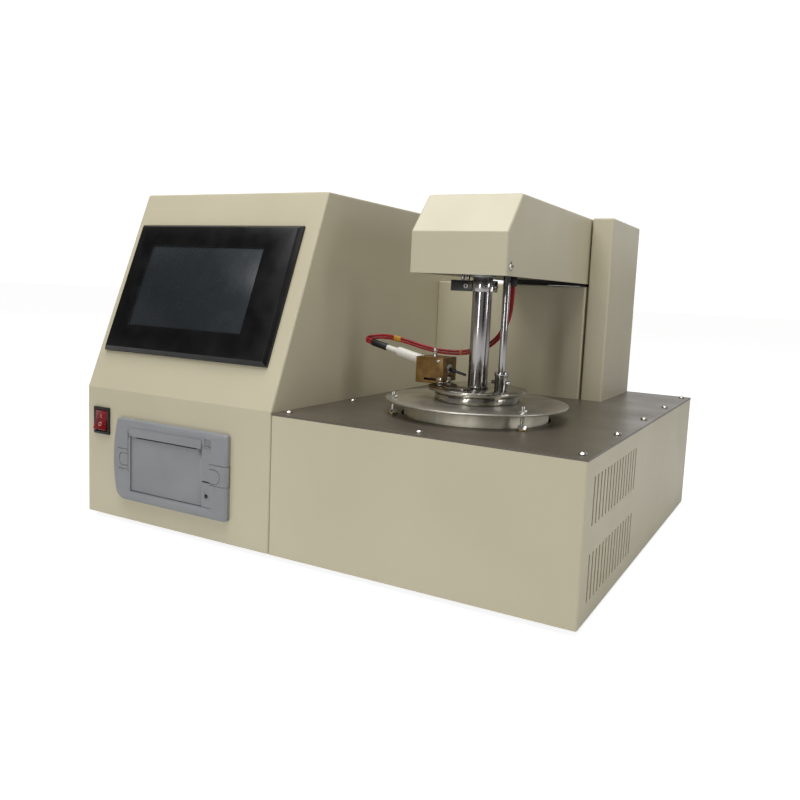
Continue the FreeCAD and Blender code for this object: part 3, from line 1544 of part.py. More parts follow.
def add_inlet():
    body = new_body("PowerInlet")
    wide, high = size.inlet_width, size.inlet_height
    pad(body, "XZ", [rectangle(inlet_x, inlet_z, inlet_x + wide, inlet_z + high)], back,
        size.inlet_proud)
    cut_x = inlet_x + (wide - size.inlet_cut_width) / 2
    cut_z = inlet_z + (high - size.inlet_cut_height) / 2
    pad(body, "XZ", [rectangle(cut_x, cut_z, cut_x + size.inlet_cut_width,
                               cut_z + size.inlet_cut_height)],
        back - size.inlet_depth, size.inlet_depth)
    middle_x = inlet_x + wide / 2
    middle_z = inlet_z + high / 2
    half_x, half_z = size.socket_width / 2, size.socket_height / 2
    low = back + size.inlet_proud - size.socket_depth
    pocket(body, "XZ", [rectangle(middle_x - half_x, middle_z - half_z, middle_x + half_x,
                                  middle_z + half_z)], low, size.socket_depth)
    for step in (-1, 0, 1):
        pin_x = middle_x + size.socket_pin_pitch * step
        pin_z = middle_z + size.socket_pin_offset * (1 if step == 0 else -1)
        pad(body, "XZ", [rectangle(pin_x - size.socket_pin_height / 2,
                                   pin_z - size.socket_pin_width / 2,
                                   pin_x + size.socket_pin_height / 2,
                                   pin_z + size.socket_pin_width / 2)],
            low, size.socket_pin_length)
    keep(body, "power_inlet")


def add_electronics():
    pan_top = floor + size.wall
    supply = block(left + size.foot_inset, back - size.supply_depth * 2, pan_top,
                   size.supply_width, size.supply_depth, size.supply_height)
    keep(supply, "power_supply")
    board_x = left + size.foot_inset + size.supply_width + size.fan_strut_width * 2
    board_y = back - size.board_depth - size.foot_inset
    pieces = [block(board_x, board_y, pan_top + size.board_standoff, size.board_width,
                    size.board_depth, size.board_thickness)]
    inset = size.standoff_inset
    for x in (board_x + inset, board_x + size.board_width - inset):
        for y in (board_y + inset, board_y + size.board_depth - inset):
            pieces.append(rod(size.standoff_radius, x, y, pan_top, size.board_standoff))
    keep(join(*pieces), "controller_board")


def lead_route(offset):
    """Points of one lead from the igniter's boot to the gland under the head.

    The middle points are shares of the way from boot to gland, left to right, front to back and
    up. The offset keeps the two leads side by side; it tips over where they turn upwards.
    """
    end_x, end_y, end_z = boot_end_place()
    gland_x = bath_x + size.gland_out
    gland_y = bath_y + size.gland_behind
    gland_z = plate_under - size.gland_drop
    points = []
    for share_x, share_y, share_z, tip in LEAD_SHARES:
        lean = math.pi / 2 * tip
        x = end_x + (gland_x - end_x) * share_x - offset * math.sin(lean)
        y = bath_y + size.gland_behind * share_y
        z = end_z + (gland_z - end_z) * share_z + offset * math.cos(lean)
        points.append((x, y, z))
    slant = diagonal(size.axis_run, size.axis_drop)
    run_share, drop_share = size.axis_run / slant, size.axis_drop / slant
    start_x, start_z = end_x + offset * drop_share, end_z + offset * run_share
    start = (start_x, end_y, start_z)
    run_out = (start_x - size.lead_run_out * run_share, end_y,
               start_z + size.lead_run_out * drop_share)
    finish = (gland_x - offset, gland_y, gland_z)
    return [start, run_out, *points, finish]


def boot_end_place():
    """Where the boot ends, on the igniter's tilted axis."""
    lean = diagonal(size.axis_run, size.axis_drop)
    reach = size.ceramic_length - size.igniter_length + size.neck_length + size.boot_length
    x = bath_x - size.igniter_reach - reach * size.axis_run / lean
    z = lid_top + size.axis_height + size.igniter_length * size.axis_drop / size.axis_run \
        + reach * size.axis_drop / lean
    return x, bath_y, z


def bent_wire(points):
    """Straight runs joined by tangent arcs, and the smallest arc radius."""
    corners = [Vector(*(value_of(length) for length in point)) for point in points]
    edges = []
    smallest = None
    at = corners[0]
    for before, corner, after in zip(corners, corners[1:], corners[2:]):
        run_in, run_out = corner - before, after - corner
        turn = run_in.getAngle(run_out)
        setback = ARC_SHARE * min(run_in.Length, run_out.Length)
        radius = setback / math.tan(turn / 2)
        smallest = radius if smallest is None else min(smallest, radius)
        enter = corner - run_in.normalize() * setback
        leave = corner + run_out.normalize() * setback
        toward = (enter - corner + leave - corner).normalize()
        middle = corner + toward * (math.hypot(radius, setback) - radius)
        edges.append(Part.makeLine(at, enter))
        edges.append(Part.Arc(enter, middle, leave).toShape())
        at = leave
    edges.append(Part.makeLine(at, corners[-1]))
    return Part.Wire(edges), smallest


def add_leads():
    for name, way in (("igniter_lead_upper", 1), ("igniter_lead_lower", -1)):
        points = lead_route(size.lead_pitch / 2 * way)
        wire, smallest = bent_wire(points)
        start = wire.Edges[0]
        ring = Part.Circle(start.valueAt(start.FirstParameter),
                           start.tangentAt(start.FirstParameter),
                           size.lead_diameter.value / 2)
        profile = Part.Wire([ring.toShape()])
        item = doc.addObject("Part::Feature", "Lead")
        item.Shape = wire.makePipeShell([profile], True, False)
        keep(item, name)
        print(f"{name}: smallest bend radius {smallest:.1f}, length {wire.Length:.0f}")


# Places that the panel pieces share
display_x = left + size.display_left
switch_x = left + size.switch_left
switch_z = floor + size.switch_rise
printer_x = left + size.printer_left
printer_z = floor + size.printer_rise
inlet_x = left + size.inlet_from_left
inlet_z = floor + size.inlet_rise
head_screw_z = head_under + size.head_screw_rise
head_screw_ys = (head_front_y + size.head_screw_front, head_back_y - size.head_screw_front * 2)
slope_angle_text = f"atan({slope_rise.text} / {size.console_setback.text})"

add_base_shell()
add_deck()
add_pans_and_feet()
add_console()
add_display()
add_switch()
add_printer()
add_bath()
add_rear_covers()
add_lift()
add_head()
add_lid()
add_stirrer()
add_igniter()
add_fan()
add_inlet()
add_electronics()
add_leads()
doc.recompute()


def check_document():
    """Stop if any object failed, or if a sub-part has no valid solid."""
    for item in doc.Objects:
        if "Invalid" in item.State or "Error" in item.State:
            raise RuntimeError(f"{item.Name} ({item.Label}) failed: {item.State}")
    for name, item in NODES:
        shape = item.Shape
        if shape.isNull() or not shape.isValid() or not shape.Solids:
            raise RuntimeError(f"{name} has no valid solid")


check_document()
os.makedirs("parts", exist_ok=True)
for name, item in NODES:
    item.Shape.exportStep(f"parts/{name}.step")
print(f"{len(NODES)} sub-parts written")
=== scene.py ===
"""Looks of the closed-cup flash point tester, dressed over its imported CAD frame."""
import json
import math

import bmesh
import bpy
from mathutils import Matrix, Vector
from mathutils.bvhtree import BVHTree


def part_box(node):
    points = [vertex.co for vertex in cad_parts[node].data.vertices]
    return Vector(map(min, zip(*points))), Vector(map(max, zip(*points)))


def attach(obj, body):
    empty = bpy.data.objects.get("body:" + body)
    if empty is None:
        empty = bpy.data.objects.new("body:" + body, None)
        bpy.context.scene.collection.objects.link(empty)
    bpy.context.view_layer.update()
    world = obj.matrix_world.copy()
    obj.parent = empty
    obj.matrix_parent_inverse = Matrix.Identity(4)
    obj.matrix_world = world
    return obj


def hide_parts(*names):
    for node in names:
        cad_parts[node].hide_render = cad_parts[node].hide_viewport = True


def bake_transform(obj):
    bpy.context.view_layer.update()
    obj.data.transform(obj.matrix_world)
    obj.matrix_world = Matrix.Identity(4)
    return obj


MM = 0.001
MERGE_GAP = 0.001 * MM

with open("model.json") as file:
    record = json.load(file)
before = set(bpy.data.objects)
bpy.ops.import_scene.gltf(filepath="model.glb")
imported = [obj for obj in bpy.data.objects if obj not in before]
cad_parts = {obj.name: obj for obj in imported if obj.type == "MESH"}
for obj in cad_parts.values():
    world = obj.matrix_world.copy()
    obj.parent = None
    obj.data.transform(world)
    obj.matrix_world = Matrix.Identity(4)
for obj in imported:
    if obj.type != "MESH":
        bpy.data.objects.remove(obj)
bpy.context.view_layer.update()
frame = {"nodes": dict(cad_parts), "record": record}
nodes = frame["nodes"]

# Places read from the frame, in metres
column_low, column_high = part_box("column_tube")
AXIS_X = (column_low.x + column_high.x) / 2
AXIS_Y = (column_low.y + column_high.y) / 2
DECK_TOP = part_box("deck_plate")[1].z
LID_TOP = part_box("lid")[1].z
BACK_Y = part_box("console_back")[1].y
printer_low, printer_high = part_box("printer_frame")
rocker_low, rocker_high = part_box("rocker")
collar_low, collar_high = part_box("column_collar")
lever_low, lever_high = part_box("shutter_lever")


def linear(red, green, blue):
    """A colour given as it shows on a screen, from 0 to 255, as the shader wants it."""
    def channel(value):
        share = value / 255
        return share / 12.92 if share <= 0.04045 else ((share + 0.055) / 1.055) ** 2.4
    return channel(red), channel(green), channel(blue), 1.0


# Materials

class Shader:
    """A material's node tree, with short ways to add and link nodes."""

    def __init__(self, name):
        self.material = bpy.data.materials.new(name)
        self.material.use_nodes = True
        self.tree = self.material.node_tree
        self.surface = self.tree.nodes["Principled BSDF"]
        self.place = self.add("ShaderNodeTexCoord").outputs["Object"]

    def add(self, kind, **props):
        node = self.tree.nodes.new(kind)
        for prop, value in props.items():
            setattr(node, prop, value)
        return node

    def plug(self, socket, value):
        if isinstance(value, bpy.types.NodeSocket):
            self.tree.links.new(value, socket)
        else:
            socket.default_value = value

    def set(self, **values):
        """Set the shader's own sockets, each named with low lines for spaces."""
        for name, value in values.items():
            self.plug(self.surface.inputs[name.replace("_", " ").title()], value)
        return self

    def noise(self, size, detail=3.0, stretch=(1, 1, 1), place=None):
        """Noise whose blotches are about size metres wide, drawn out along an axis by stretch."""
        scale = self.add("ShaderNodeVectorMath", operation="MULTIPLY")
        self.plug(scale.inputs[0], place or self.place)
        scale.inputs[1].default_value = [1 / (size * share) for share in stretch]
        texture = self.add("ShaderNodeTexNoise")
        texture.inputs["Scale"].default_value = 1.0
        texture.inputs["Detail"].default_value = detail
        self.plug(texture.inputs["Vector"], scale.outputs[0])
        return texture.outputs["Fac"]

    def span(self, value, low, high, start=0.3, end=0.7):
        """Map a value from start..end to low..high."""
        node = self.add("ShaderNodeMapRange")
        self.plug(node.inputs["Value"], value)
        node.inputs["From Min"].default_value = start
        node.inputs["From Max"].default_value = end
        node.inputs["To Min"].default_value = low
        node.inputs["To Max"].default_value = high
        return node.outputs["Result"]

    def blend(self, share, first, second):
        node = self.add("ShaderNodeMix", data_type="RGBA")
        self.plug(node.inputs["Factor"], share)
        self.plug(node.inputs["A"], first)
        self.plug(node.inputs["B"], second)
        return node.outputs["Result"]

    def total(self, first, second, operation="ADD"):
        node = self.add("ShaderNodeMath", operation=operation)
        self.plug(node.inputs[0], first)
        self.plug(node.inputs[1], second)
        return node.outputs[0]

    def split(self, vector):
        """The X, Y and Z of a vector."""
        node = self.add("ShaderNodeSeparateXYZ")
        self.plug(node.inputs[0], vector)
        return node.outputs

    def above(self, value, limit):
        """1 where a value is over a limit, else 0."""
        return self.total(value, limit, "GREATER_THAN")

    def between(self, value, low, high):
        """1 where a value lies between two limits, else 0."""
        return self.total(self.above(value, low), self.above(value, high), "SUBTRACT")

    def bump(self, height, depth, strength=1.0):
        """Bump of a real depth in metres from a height between 0 and 1."""
        node = self.add("ShaderNodeBump")
        node.inputs["Strength"].default_value = strength
        node.inputs["Distance"].default_value = depth
        self.plug(node.inputs["Height"], height)
        self.plug(self.surface.inputs["Normal"], node.outputs["Normal"])
        return self

    def radius_from(self, x, y):
        """A place that changes only with the distance from an upright axis and the height."""
        offset = self.add("ShaderNodeVectorMath", operation="SUBTRACT")
        self.plug(offset.inputs[0], self.place)
        offset.inputs[1].default_value = (x, y, 0)
        out_x, out_y, height = self.split(offset.outputs[0])
        square = self.total(self.total(out_x, out_x, "MULTIPLY"),
                            self.total(out_y, out_y, "MULTIPLY"))
        radius = self.total(square, 0.5, "POWER")
        place = self.add("ShaderNodeCombineXYZ")
        self.plug(place.inputs["X"], radius)
        self.plug(place.inputs["Z"], height)
        return place.outputs[0]


def painted(name, colour, shade, roughness, grain=0.0012, depth=0.00006, metallic=0.0):
    """Powder paint: a fine grain, slow changes of tone, and a little uneven gloss."""
    shader = Shader(name)
    tone = shader.noise(0.16, 2.0)
    speckle = shader.noise(grain * 1.6, 2.0)
    base = shader.blend(shader.span(tone, 0, 1), colour, shade)
    base = shader.blend(shader.span(speckle, 0, 0.25), base, shade)
    smear = shader.noise(0.05, 4.0, (1, 1, 2.5))
    shader.set(base_color=base, metallic=metallic,
               roughness=shader.span(smear, roughness - 0.05, roughness + 0.07))
    shader.bump(shader.noise(grain, 2.0), depth, 0.5)
    return shader.material


def turned_metal(name, colour, shade, roughness, groove=0.0006, depth=0.00002):
    """Metal turned on a lathe: rings around the bath's axis catch the light."""
    shader = Shader(name)
    place = shader.radius_from(AXIS_X, AXIS_Y)
    rings = shader.noise(groove, place=place)
    stain = shader.noise(0.02, 4.0)
    shader.set(metallic=1.0, base_color=shader.blend(shader.span(stain, 0, 1), colour, shade),
               roughness=shader.total(shader.span(rings, roughness - 0.05, roughness + 0.06),
                                      shader.span(stain, 0, 0.06)))
    shader.bump(rings, depth, 0.6)
    return shader.material


def brushed_metal(name, colour, shade, roughness, stretch, line=0.0004, depth=0.000015):
    """Metal with a straight brushed grain; stretch says along which axis it runs."""
    shader = Shader(name)
    lines = shader.noise(line, 3.0, stretch)
    stain = shader.noise(0.03, 4.0)
    shader.set(metallic=1.0, base_color=shader.blend(shader.span(stain, 0, 1), colour, shade),
               roughness=shader.total(shader.span(lines, roughness - 0.05, roughness + 0.08),
                                      shader.span(stain, 0, 0.05)))
    shader.bump(lines, depth, 0.5)
    return shader.material


def polished_metal(name, colour, roughness):
    """Chrome or polished steel with faint wipe marks."""
    shader = Shader(name)
    wipe = shader.noise(0.012, 5.0, (1, 1, 3))
    shader.set(metallic=1.0, base_color=colour,
               roughness=shader.span(wipe, roughness - 0.04, roughness + 0.07))
    shader.bump(shader.noise(0.006, 2.0), 0.00002, 0.2)
    return shader.material


def plastic(name, colour, shade, roughness, grain=0.0006, depth=0.00004):
    """Moulded plastic with a fine eroded texture."""
    shader = Shader(name)
    tone = shader.noise(0.04, 3.0)
    shader.set(base_color=shader.blend(shader.span(tone, 0, 1), colour, shade),
               roughness=shader.span(shader.noise(0.02, 4.0), roughness - 0.05,
                                     roughness + 0.06))
    shader.bump(shader.noise(grain, 2.0), depth, 0.4)
    return shader.material


def screen_glass():
    """A dark display that is switched off, under glass with faint finger marks."""
    shader = Shader("screen glass")
    marks = shader.noise(0.018, 5.0)
    tone = shader.noise(0.12, 1.0)
    shader.set(base_color=shader.blend(shader.span(tone, 0, 1), linear(43, 48, 51),
                                       linear(38, 42, 46)),
               roughness=shader.span(marks, 0.2, 0.32))
    shader.surface.inputs["Specular IOR Level"].default_value = 0.4
    shader.bump(shader.noise(0.004, 1.0), 0.000005, 0.2)
    return shader.material


# The igniter's block and the notch in its face, from the lid's top and axis
BLOCK_TALL = 27 * MM
BLOCK_HALF = 15 * MM
NOTCH_RISE = 4.2 * MM
NOTCH_TALL = 2.4 * MM
NOTCH_LEFT = 52 * MM
NOTCH_RIGHT = 38.5 * MM
NOTCH_MARGIN = 0.1 * MM
SCREW_MARGIN = 0.05 * MM


def igniter_metal():
    """Ochre passivated block, with bright screws on its top and face, and the inside of a notch
    in its face painted dark reddish brown.
    """
    shader = Shader("passivated block")
    x, y, z = shader.split(shader.place)
    blotch = shader.noise(0.008, 4.0)
    lines = shader.noise(0.0005, 2.0, (20, 1, 1))
    base = shader.blend(shader.span(blotch, 0, 1), linear(142, 112, 58), linear(108, 78, 38))
    face = AXIS_Y - BLOCK_HALF
    notch_low = LID_TOP + NOTCH_RISE
    # The inside of the notch is painted dark reddish brown
    inside = shader.between(y, face + NOTCH_MARGIN, AXIS_Y - BLOCK_HALF / 2)
    for value, low, high in ((z, notch_low, notch_low + NOTCH_TALL),
                             (x, AXIS_X - NOTCH_LEFT, AXIS_X - NOTCH_RIGHT)):
        within = shader.between(value, low - NOTCH_MARGIN, high + NOTCH_MARGIN)
        inside = shader.total(inside, within, "MULTIPLY")
    base = shader.blend(inside, base, linear(58, 26, 16))
    screws = shader.total(shader.above(z, LID_TOP + BLOCK_TALL + SCREW_MARGIN),
                          shader.above(face - SCREW_MARGIN, y), "MAXIMUM")
    shader.set(metallic=shader.span(screws, 0.45, 1.0, 0, 1),
               base_color=shader.blend(screws, base, linear(206, 203, 196)),
               roughness=shader.total(shader.span(lines, 0.30, 0.42),
                                      shader.span(screws, 0, -0.18, 0, 1)))
    shader.bump(lines, 0.00001, 0.5)
    return shader.material


def ceramic():
    shader = Shader("white ceramic")
    speck = shader.noise(0.0015, 3.0)
    shader.set(base_color=shader.blend(shader.span(speck, 0, 1), linear(243, 240, 232),
                                       linear(232, 228, 218)),
               roughness=shader.span(shader.noise(0.006, 3.0), 0.22, 0.38))
    shader.surface.inputs["Subsurface Weight"].default_value = 0.08
    shader.surface.inputs["Subsurface Radius"].default_value = (0.002, 0.002, 0.002)
    shader.bump(shader.noise(0.0008, 2.0), 0.00001, 0.3)
    return shader.material


def rocker_plastic():
    """Red translucent rocker of an illuminated switch, not lit."""
    shader = Shader("red rocker")
    depth = shader.noise(0.006, 2.0)
    shader.set(base_color=shader.blend(shader.span(depth, 0, 1), linear(142, 12, 18),
                                       linear(96, 6, 12)),
               roughness=shader.span(shader.noise(0.004, 3.0), 0.18, 0.30))
    shader.surface.inputs["Transmission Weight"].default_value = 0.12
    shader.surface.inputs["Coat Weight"].default_value = 0.4
    shader.surface.inputs["Coat Roughness"].default_value = 0.08
    shader.bump(shader.noise(0.0006, 1.0), 0.00001, 0.3)
    return shader.material


def paper():
    """Paper whose wound layers show on the ends of the roll."""
    shader = Shader("thermal paper")
    fibre = shader.noise(0.0005, 4.0, (6, 1, 1))
    shader.set(base_color=shader.blend(shader.span(fibre, 0, 1), linear(240, 238, 230),
                                       linear(226, 223, 212)),
               roughness=shader.span(fibre, 0.75, 0.9))
    shader.bump(fibre, 0.00003, 0.4)
    return shader.material


def circuit_board():
    shader = Shader("circuit board")
    tracks = shader.noise(0.004, 1.0, (4, 1, 1))
    shader.set(base_color=shader.blend(shader.span(tracks, 0, 1, 0.48, 0.52),
                                       linear(20, 88, 48), linear(30, 112, 60)),
               roughness=shader.span(tracks, 0.32, 0.45))
    shader.bump(tracks, 0.00004, 0.5)
    return shader.material


def rubber(name, colour, shade, roughness=0.7):
    shader = Shader(name)
    dust = shader.noise(0.005, 4.0)
    shader.set(base_color=shader.blend(shader.span(dust, 0, 1), colour, shade),
               roughness=shader.span(dust, roughness - 0.06, roughness + 0.08))
    shader.bump(shader.noise(0.0006, 3.0), 0.00003, 0.5)
    return shader.material


MATERIALS = {
    "cream_paint": painted("cream powder paint", linear(207, 200, 174), linear(200, 192, 165),
                           0.36),
    "deck_paint": painted("dark deck", linear(118, 110, 99), linear(100, 93, 83), 0.34,
                          grain=0.0009, depth=0.00003, metallic=0.4),
    "pan_metal": painted("zinc plated pan", linear(150, 150, 148), linear(126, 126, 122), 0.45,
                         metallic=0.8),
    "foot_rubber": rubber("foot rubber", linear(28, 28, 28), linear(44, 43, 41)),
    "fixing_steel": polished_metal("fixing steel", linear(196, 193, 186), 0.18),
    "blackened_steel": painted("dark bracket", linear(78, 80, 76), linear(56, 58, 55), 0.36,
                               metallic=0.5),
    "bezel_plastic": plastic("bezel plastic", linear(6, 6, 8), linear(10, 10, 12), 0.34),
    "screen_glass": screen_glass(),
    "switch_plastic": plastic("switch plastic", linear(14, 14, 14), linear(24, 24, 24), 0.42),
    "rocker_plastic": rocker_plastic(),
    "printer_plastic": plastic("printer plastic", linear(146, 147, 150), linear(139, 141, 144),
                               0.46, grain=0.0008, depth=0.00005),
    "roller_rubber": rubber("roller rubber", linear(24, 24, 24), linear(38, 38, 38)),
    "paper": paper(),
    "ring_steel": turned_metal("turned ring steel", linear(214, 210, 199),
                               linear(190, 186, 176), 0.34),
    "jacket_steel": turned_metal("spun jacket", linear(236, 231, 214), linear(222, 216, 198),
                                 0.50, groove=0.001),
    "heater_aluminium": turned_metal("heater aluminium", linear(180, 180, 180),
                                     linear(150, 150, 150), 0.4),
    "heater_band": turned_metal("heater band", linear(170, 160, 145), linear(120, 110, 98), 0.4),
    "seat_steel": turned_metal("cup seat", linear(176, 173, 165), linear(146, 142, 133), 0.16),
    "cup_nickel": turned_metal("cup", linear(190, 184, 170), linear(160, 153, 138), 0.16),
    "lid_steel": turned_metal("lid steel", linear(186, 182, 173), linear(150, 146, 136), 0.16),
    "frame_aluminium": brushed_metal("milled aluminium", linear(180, 180, 182),
                                     linear(160, 160, 160), 0.38, (1, 20, 1)),
    "motor_black": painted("motor black", linear(34, 34, 34), linear(24, 24, 24), 0.45),
    "column_chrome": polished_metal("column chrome", linear(176, 173, 172), 0.14),
    "gland_plastic": plastic("gland plastic", linear(20, 20, 20), linear(30, 30, 30), 0.45),
    "coil_resin": plastic("coil resin", linear(44, 36, 30), linear(30, 24, 20), 0.4),
    "block_brass": igniter_metal(),
    "ceramic": ceramic(),
    "electrode_steel": polished_metal("dark electrode", linear(58, 55, 60), 0.34),
    "boot_rubber": rubber("boot rubber", linear(7, 7, 8), linear(14, 14, 14), 0.5),
    "lead_silicone": rubber("lead silicone", linear(182, 18, 34), linear(140, 10, 24), 0.36),
    "board_fibre": circuit_board(),
    "tape_yellow": plastic("yellow tape", linear(206, 158, 40), linear(180, 132, 28), 0.42),
    "tape_orange": plastic("orange tape", linear(200, 120, 68), linear(176, 98, 52), 0.42),
    "mark_pale": plastic("moulded mark", linear(214, 160, 158), linear(198, 140, 138), 0.4),
    "zinc_yellow": polished_metal("yellow zinc", linear(176, 158, 104), 0.28),
}

SLOT_OF = {entry["node"]: entry["material_slot"] for entry in frame["record"]["subparts"]}


# Helpers for pieces

def dress(obj, material, smooth=35):
    """Give a piece its material, and smooth shading up to an angle in degrees."""
    obj.data.materials.clear()
    obj.data.materials.append(MATERIALS[material])
    for polygon in obj.data.polygons:
        polygon.use_smooth = True
    obj.data.set_sharp_from_angle(angle=math.radians(smooth))
    return obj


def new_object(name, data):
    obj = bpy.data.objects.new(name, data)
    bpy.context.scene.collection.objects.link(obj)
    return obj


def mesh_from(name, shape):
    """A mesh from a bmesh, which is freed."""
    mesh = bpy.data.meshes.new(name)
    shape.to_mesh(mesh)
    shape.free()
    return mesh


def new_mesh(name, builder, material):
    """A mesh object from a function that fills a bmesh."""
    shape = bmesh.new()
    builder(shape)
    bmesh.ops.recalc_face_normals(shape, faces=shape.faces)
    return dress(new_object(name, mesh_from(name, shape)), material)


def welded_copy(node_name):
    """A bmesh of a CAD node whose faces share their corners."""
    shape = bmesh.new()
    shape.from_mesh(nodes[node_name].data)
    bmesh.ops.remove_doubles(shape, verts=shape.verts, dist=MERGE_GAP)
    return shape


def skin(shape, rows, ring=False):
    """Join rows of corners with faces, and close both ends unless the rows make a ring."""
    following = rows[1:] + rows[:1] if ring else rows[1:]
    for first, second in zip(rows, following):
        for number in range(len(first)):
            after = (number + 1) % len(first)
            shape.faces.new((first[number], first[after], second[after], second[number]))
    if not ring:
        shape.faces.new(rows[0])
        shape.faces.new(rows[-1])


def scaled(profile):
    """A profile in millimetres, in metres."""
    return [(radius * MM, height * MM) for radius, height in profile]


def lathe(shape, profile, place, steps=64):
    """Turn (radius, height) points about Z; a radius of 0 closes the end."""
    rings = []
    for radius, height in profile:
        if radius == 0:
            rings.append([shape.verts.new(place @ Vector((0, 0, height)))])
            continue
        ring = []
        for step in range(steps):
            turn = math.tau * step / steps
            point = Vector((radius * math.cos(turn), radius * math.sin(turn), height))
            ring.append(shape.verts.new(place @ point))
        rings.append(ring)
    for below, above in zip(rings, rings[1:]):
        for step in range(steps):
            after = (step + 1) % steps
            if len(below) == 1:
                shape.faces.new((below[0], above[step], above[after]))
            elif len(above) == 1:
                shape.faces.new((below[step], below[after], above[0]))
            else:
                shape.faces.new((below[step], below[after], above[after], above[step]))


def aim(place, direction):
    """A matrix at a place whose Z points along a direction."""
    turn = Vector((0, 0, 1)).rotation_difference(Vector(direction)).to_matrix().to_4x4()
    return Matrix.Translation(Vector(place)) @ turn


BROKEN_EDGE = 0.35 * MM
SHARP_ANGLE = 40
CARVED_ANGLE = 25
SHEET_SLOTS = ("cream_paint", "pan_metal", "paper", "lead_silicone")


def finish_nodes():
    """Give each CAD node its slot's material, and slightly broken edges unless it is a sheet."""
    for name, node in nodes.items():
        dress(node, SLOT_OF[name])
        if SLOT_OF[name] in SHEET_SLOTS or name == "deck_plate":
            continue
        weld = node.modifiers.new("weld", "WELD")
        weld.merge_threshold = MERGE_GAP
        edge = node.modifiers.new("broken edges", "BEVEL")
        edge.width = BROKEN_EDGE
        edge.segments = 2
        edge.limit_method = "ANGLE"
        edge.angle_limit = math.radians(SHARP_ANGLE)
        edge.harden_normals = True


def ribbon(shape, line, wide, low_y, high_y):
    """A closed strip square to the printer's face, along a line of places (x, z)."""
    line = [Vector(point) for point in line]
    rows = []
    for number, point in enumerate(line):
        before = line[max(number - 1, 0)]
        after = line[min(number + 1, len(line) - 1)]
        way = (after - before).normalized()
        across = Vector((-way.y, way.x)) * wide / 2
        left, right = point + across, point - across
        rows.append([shape.verts.new(corner) for corner in (
            (left.x, low_y, left.y), (right.x, low_y, right.y),
            (right.x, high_y, right.y), (left.x, high_y, left.y))])
    skin(shape, rows)


def arc(middle, radius, first, last, steps=8):
    """Places (x, z) along an arc, its angles in degrees from the X axis."""
    turns = [math.radians(first + (last - first) * step / steps) for step in range(steps + 1)]
    return [(middle[0] + radius[0] * math.cos(turn), middle[1] + radius[1] * math.sin(turn))
            for turn in turns]


def carved(name, node_name, tools, body):
    """A copy of a CAD node with tools cut out of it, which stands in for the node."""
    piece = new_object(name, mesh_from(name, welded_copy(node_name)))
    for tool in tools:
        cut = piece.modifiers.new("cut", "BOOLEAN")
        cut.operation = "DIFFERENCE"
        cut.solver = "EXACT"
        cut.object = tool
    bpy.context.view_layer.update()
    result = bpy.data.meshes.new_from_object(
        piece.evaluated_get(bpy.context.evaluated_depsgraph_get()))
    piece.modifiers.clear()
    piece.data = result
    for tool in tools:
        bpy.data.objects.remove(tool)
    dress(piece, SLOT_OF[node_name], CARVED_ANGLE)
    normals = piece.modifiers.new("flat faces", "WEIGHTED_NORMAL")
    normals.keep_sharp = True
    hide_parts(node_name)
    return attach(piece, body)


# Printer's moulded lines, in millimetres from the left and the bottom of its front

GROOVE_WIDE = 0.8 * MM
GROOVE_DEEP = 0.7 * MM
OVERRUN = 1 * MM
PRINTER_LINES = [
    [(20.0, 31.0), (20.0, 76.0)],
    [(5.7, 54.4), (19.3, 54.4)],
    [(19.3, 49.8), *arc((10.5, 43.5), (3.0, 6.3), 90, 270), (19.3, 37.2)],
    [(6.9, 33.3), (19.3, 33.3)],
    [(132.0, 55.0), (150.6, 55.0)],
    [(132.0, 34.5), (150.6, 34.5)],
    [(132.0, 50.3), *arc((138.2, 43.2), (6.7, 7.1), 90, -90), (132.0, 36.1)],
    [(121.8, 11.4), (134.0, 11.4)],
]
# Seams run on from the grooves to the right edge: heights, then left, right and depth
SEAM_RISES = (55.0, 34.5)
SEAM_CUTS = ((150.9, 151.6, 2.0), (151.9, 154.0, 7.0))
POINTER = ((124.3, 69.3), (127.4, 72.2), (132.8, 70.0), (132.8, 69.2), (127.4, 71.2))
POINTER_PROUD = 0.5 * MM
BUTTON_RING = (128.0, 22.6)
BUTTON_RIM = [(2.35, -1.0), (3.6, -1.0), (3.6, 0.1), (3.3, 0.35), (2.65, 0.35), (2.35, 0.1),
              (2.35, -1.0)]
TEAR_BAR_PROUD = 0.9 * MM
PRINTER_FACE = printer_low.y + TEAR_BAR_PROUD
PRINTER_RIGHT = 153 * MM
PRINTER_LEFT = printer_high.x - PRINTER_RIGHT


def printer_place(x, z):
    """A place in metres from one in millimetres on the printer's front."""
    return PRINTER_LEFT + x * MM, printer_low.z + z * MM


def fill_grooves(shape):
    for line in PRINTER_LINES:
        ribbon(shape, [printer_place(*point) for point in line], GROOVE_WIDE,
               PRINTER_FACE - OVERRUN, PRINTER_FACE + GROOVE_DEEP)


def fill_seams(shape):
    for z in SEAM_RISES:
        for left, right, deep in SEAM_CUTS:
            ribbon(shape, [printer_place(left, z), printer_place(right, z)], GROOVE_WIDE,
                   PRINTER_FACE - OVERRUN, PRINTER_FACE + deep * MM)


def fill_pointer(shape):
    places = [printer_place(*place) for place in POINTER]
    skin(shape, [[shape.verts.new((x, y, z)) for x, z in places]
                 for y in (PRINTER_FACE + OVERRUN, PRINTER_FACE - POINTER_PROUD)])


def add_printer():
    tools = [new_mesh("grooves", fill_grooves, "printer_plastic"),
             new_mesh("seams", fill_seams, "printer_plastic")]
    carved("printer_front", "printer_frame", tools, "base")
    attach(new_mesh("printer_pointer", fill_pointer, "printer_plastic"), "base")
    x, z = printer_place(*BUTTON_RING)
    place = aim((x, PRINTER_FACE, z), (0, -1, 0))
    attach(new_mesh("button_rim", lambda shape: lathe(shape, scaled(BUTTON_RIM), place),
                     "printer_plastic"), "base")


# Rocker marks

MARK_RAISE = 0.12 * MM
MARK_SINK = 0.4 * MM
# Heights of the middles of the bar and the ring
MARK_TOP = 111.4 * MM
MARK_LOW = 102.9 * MM
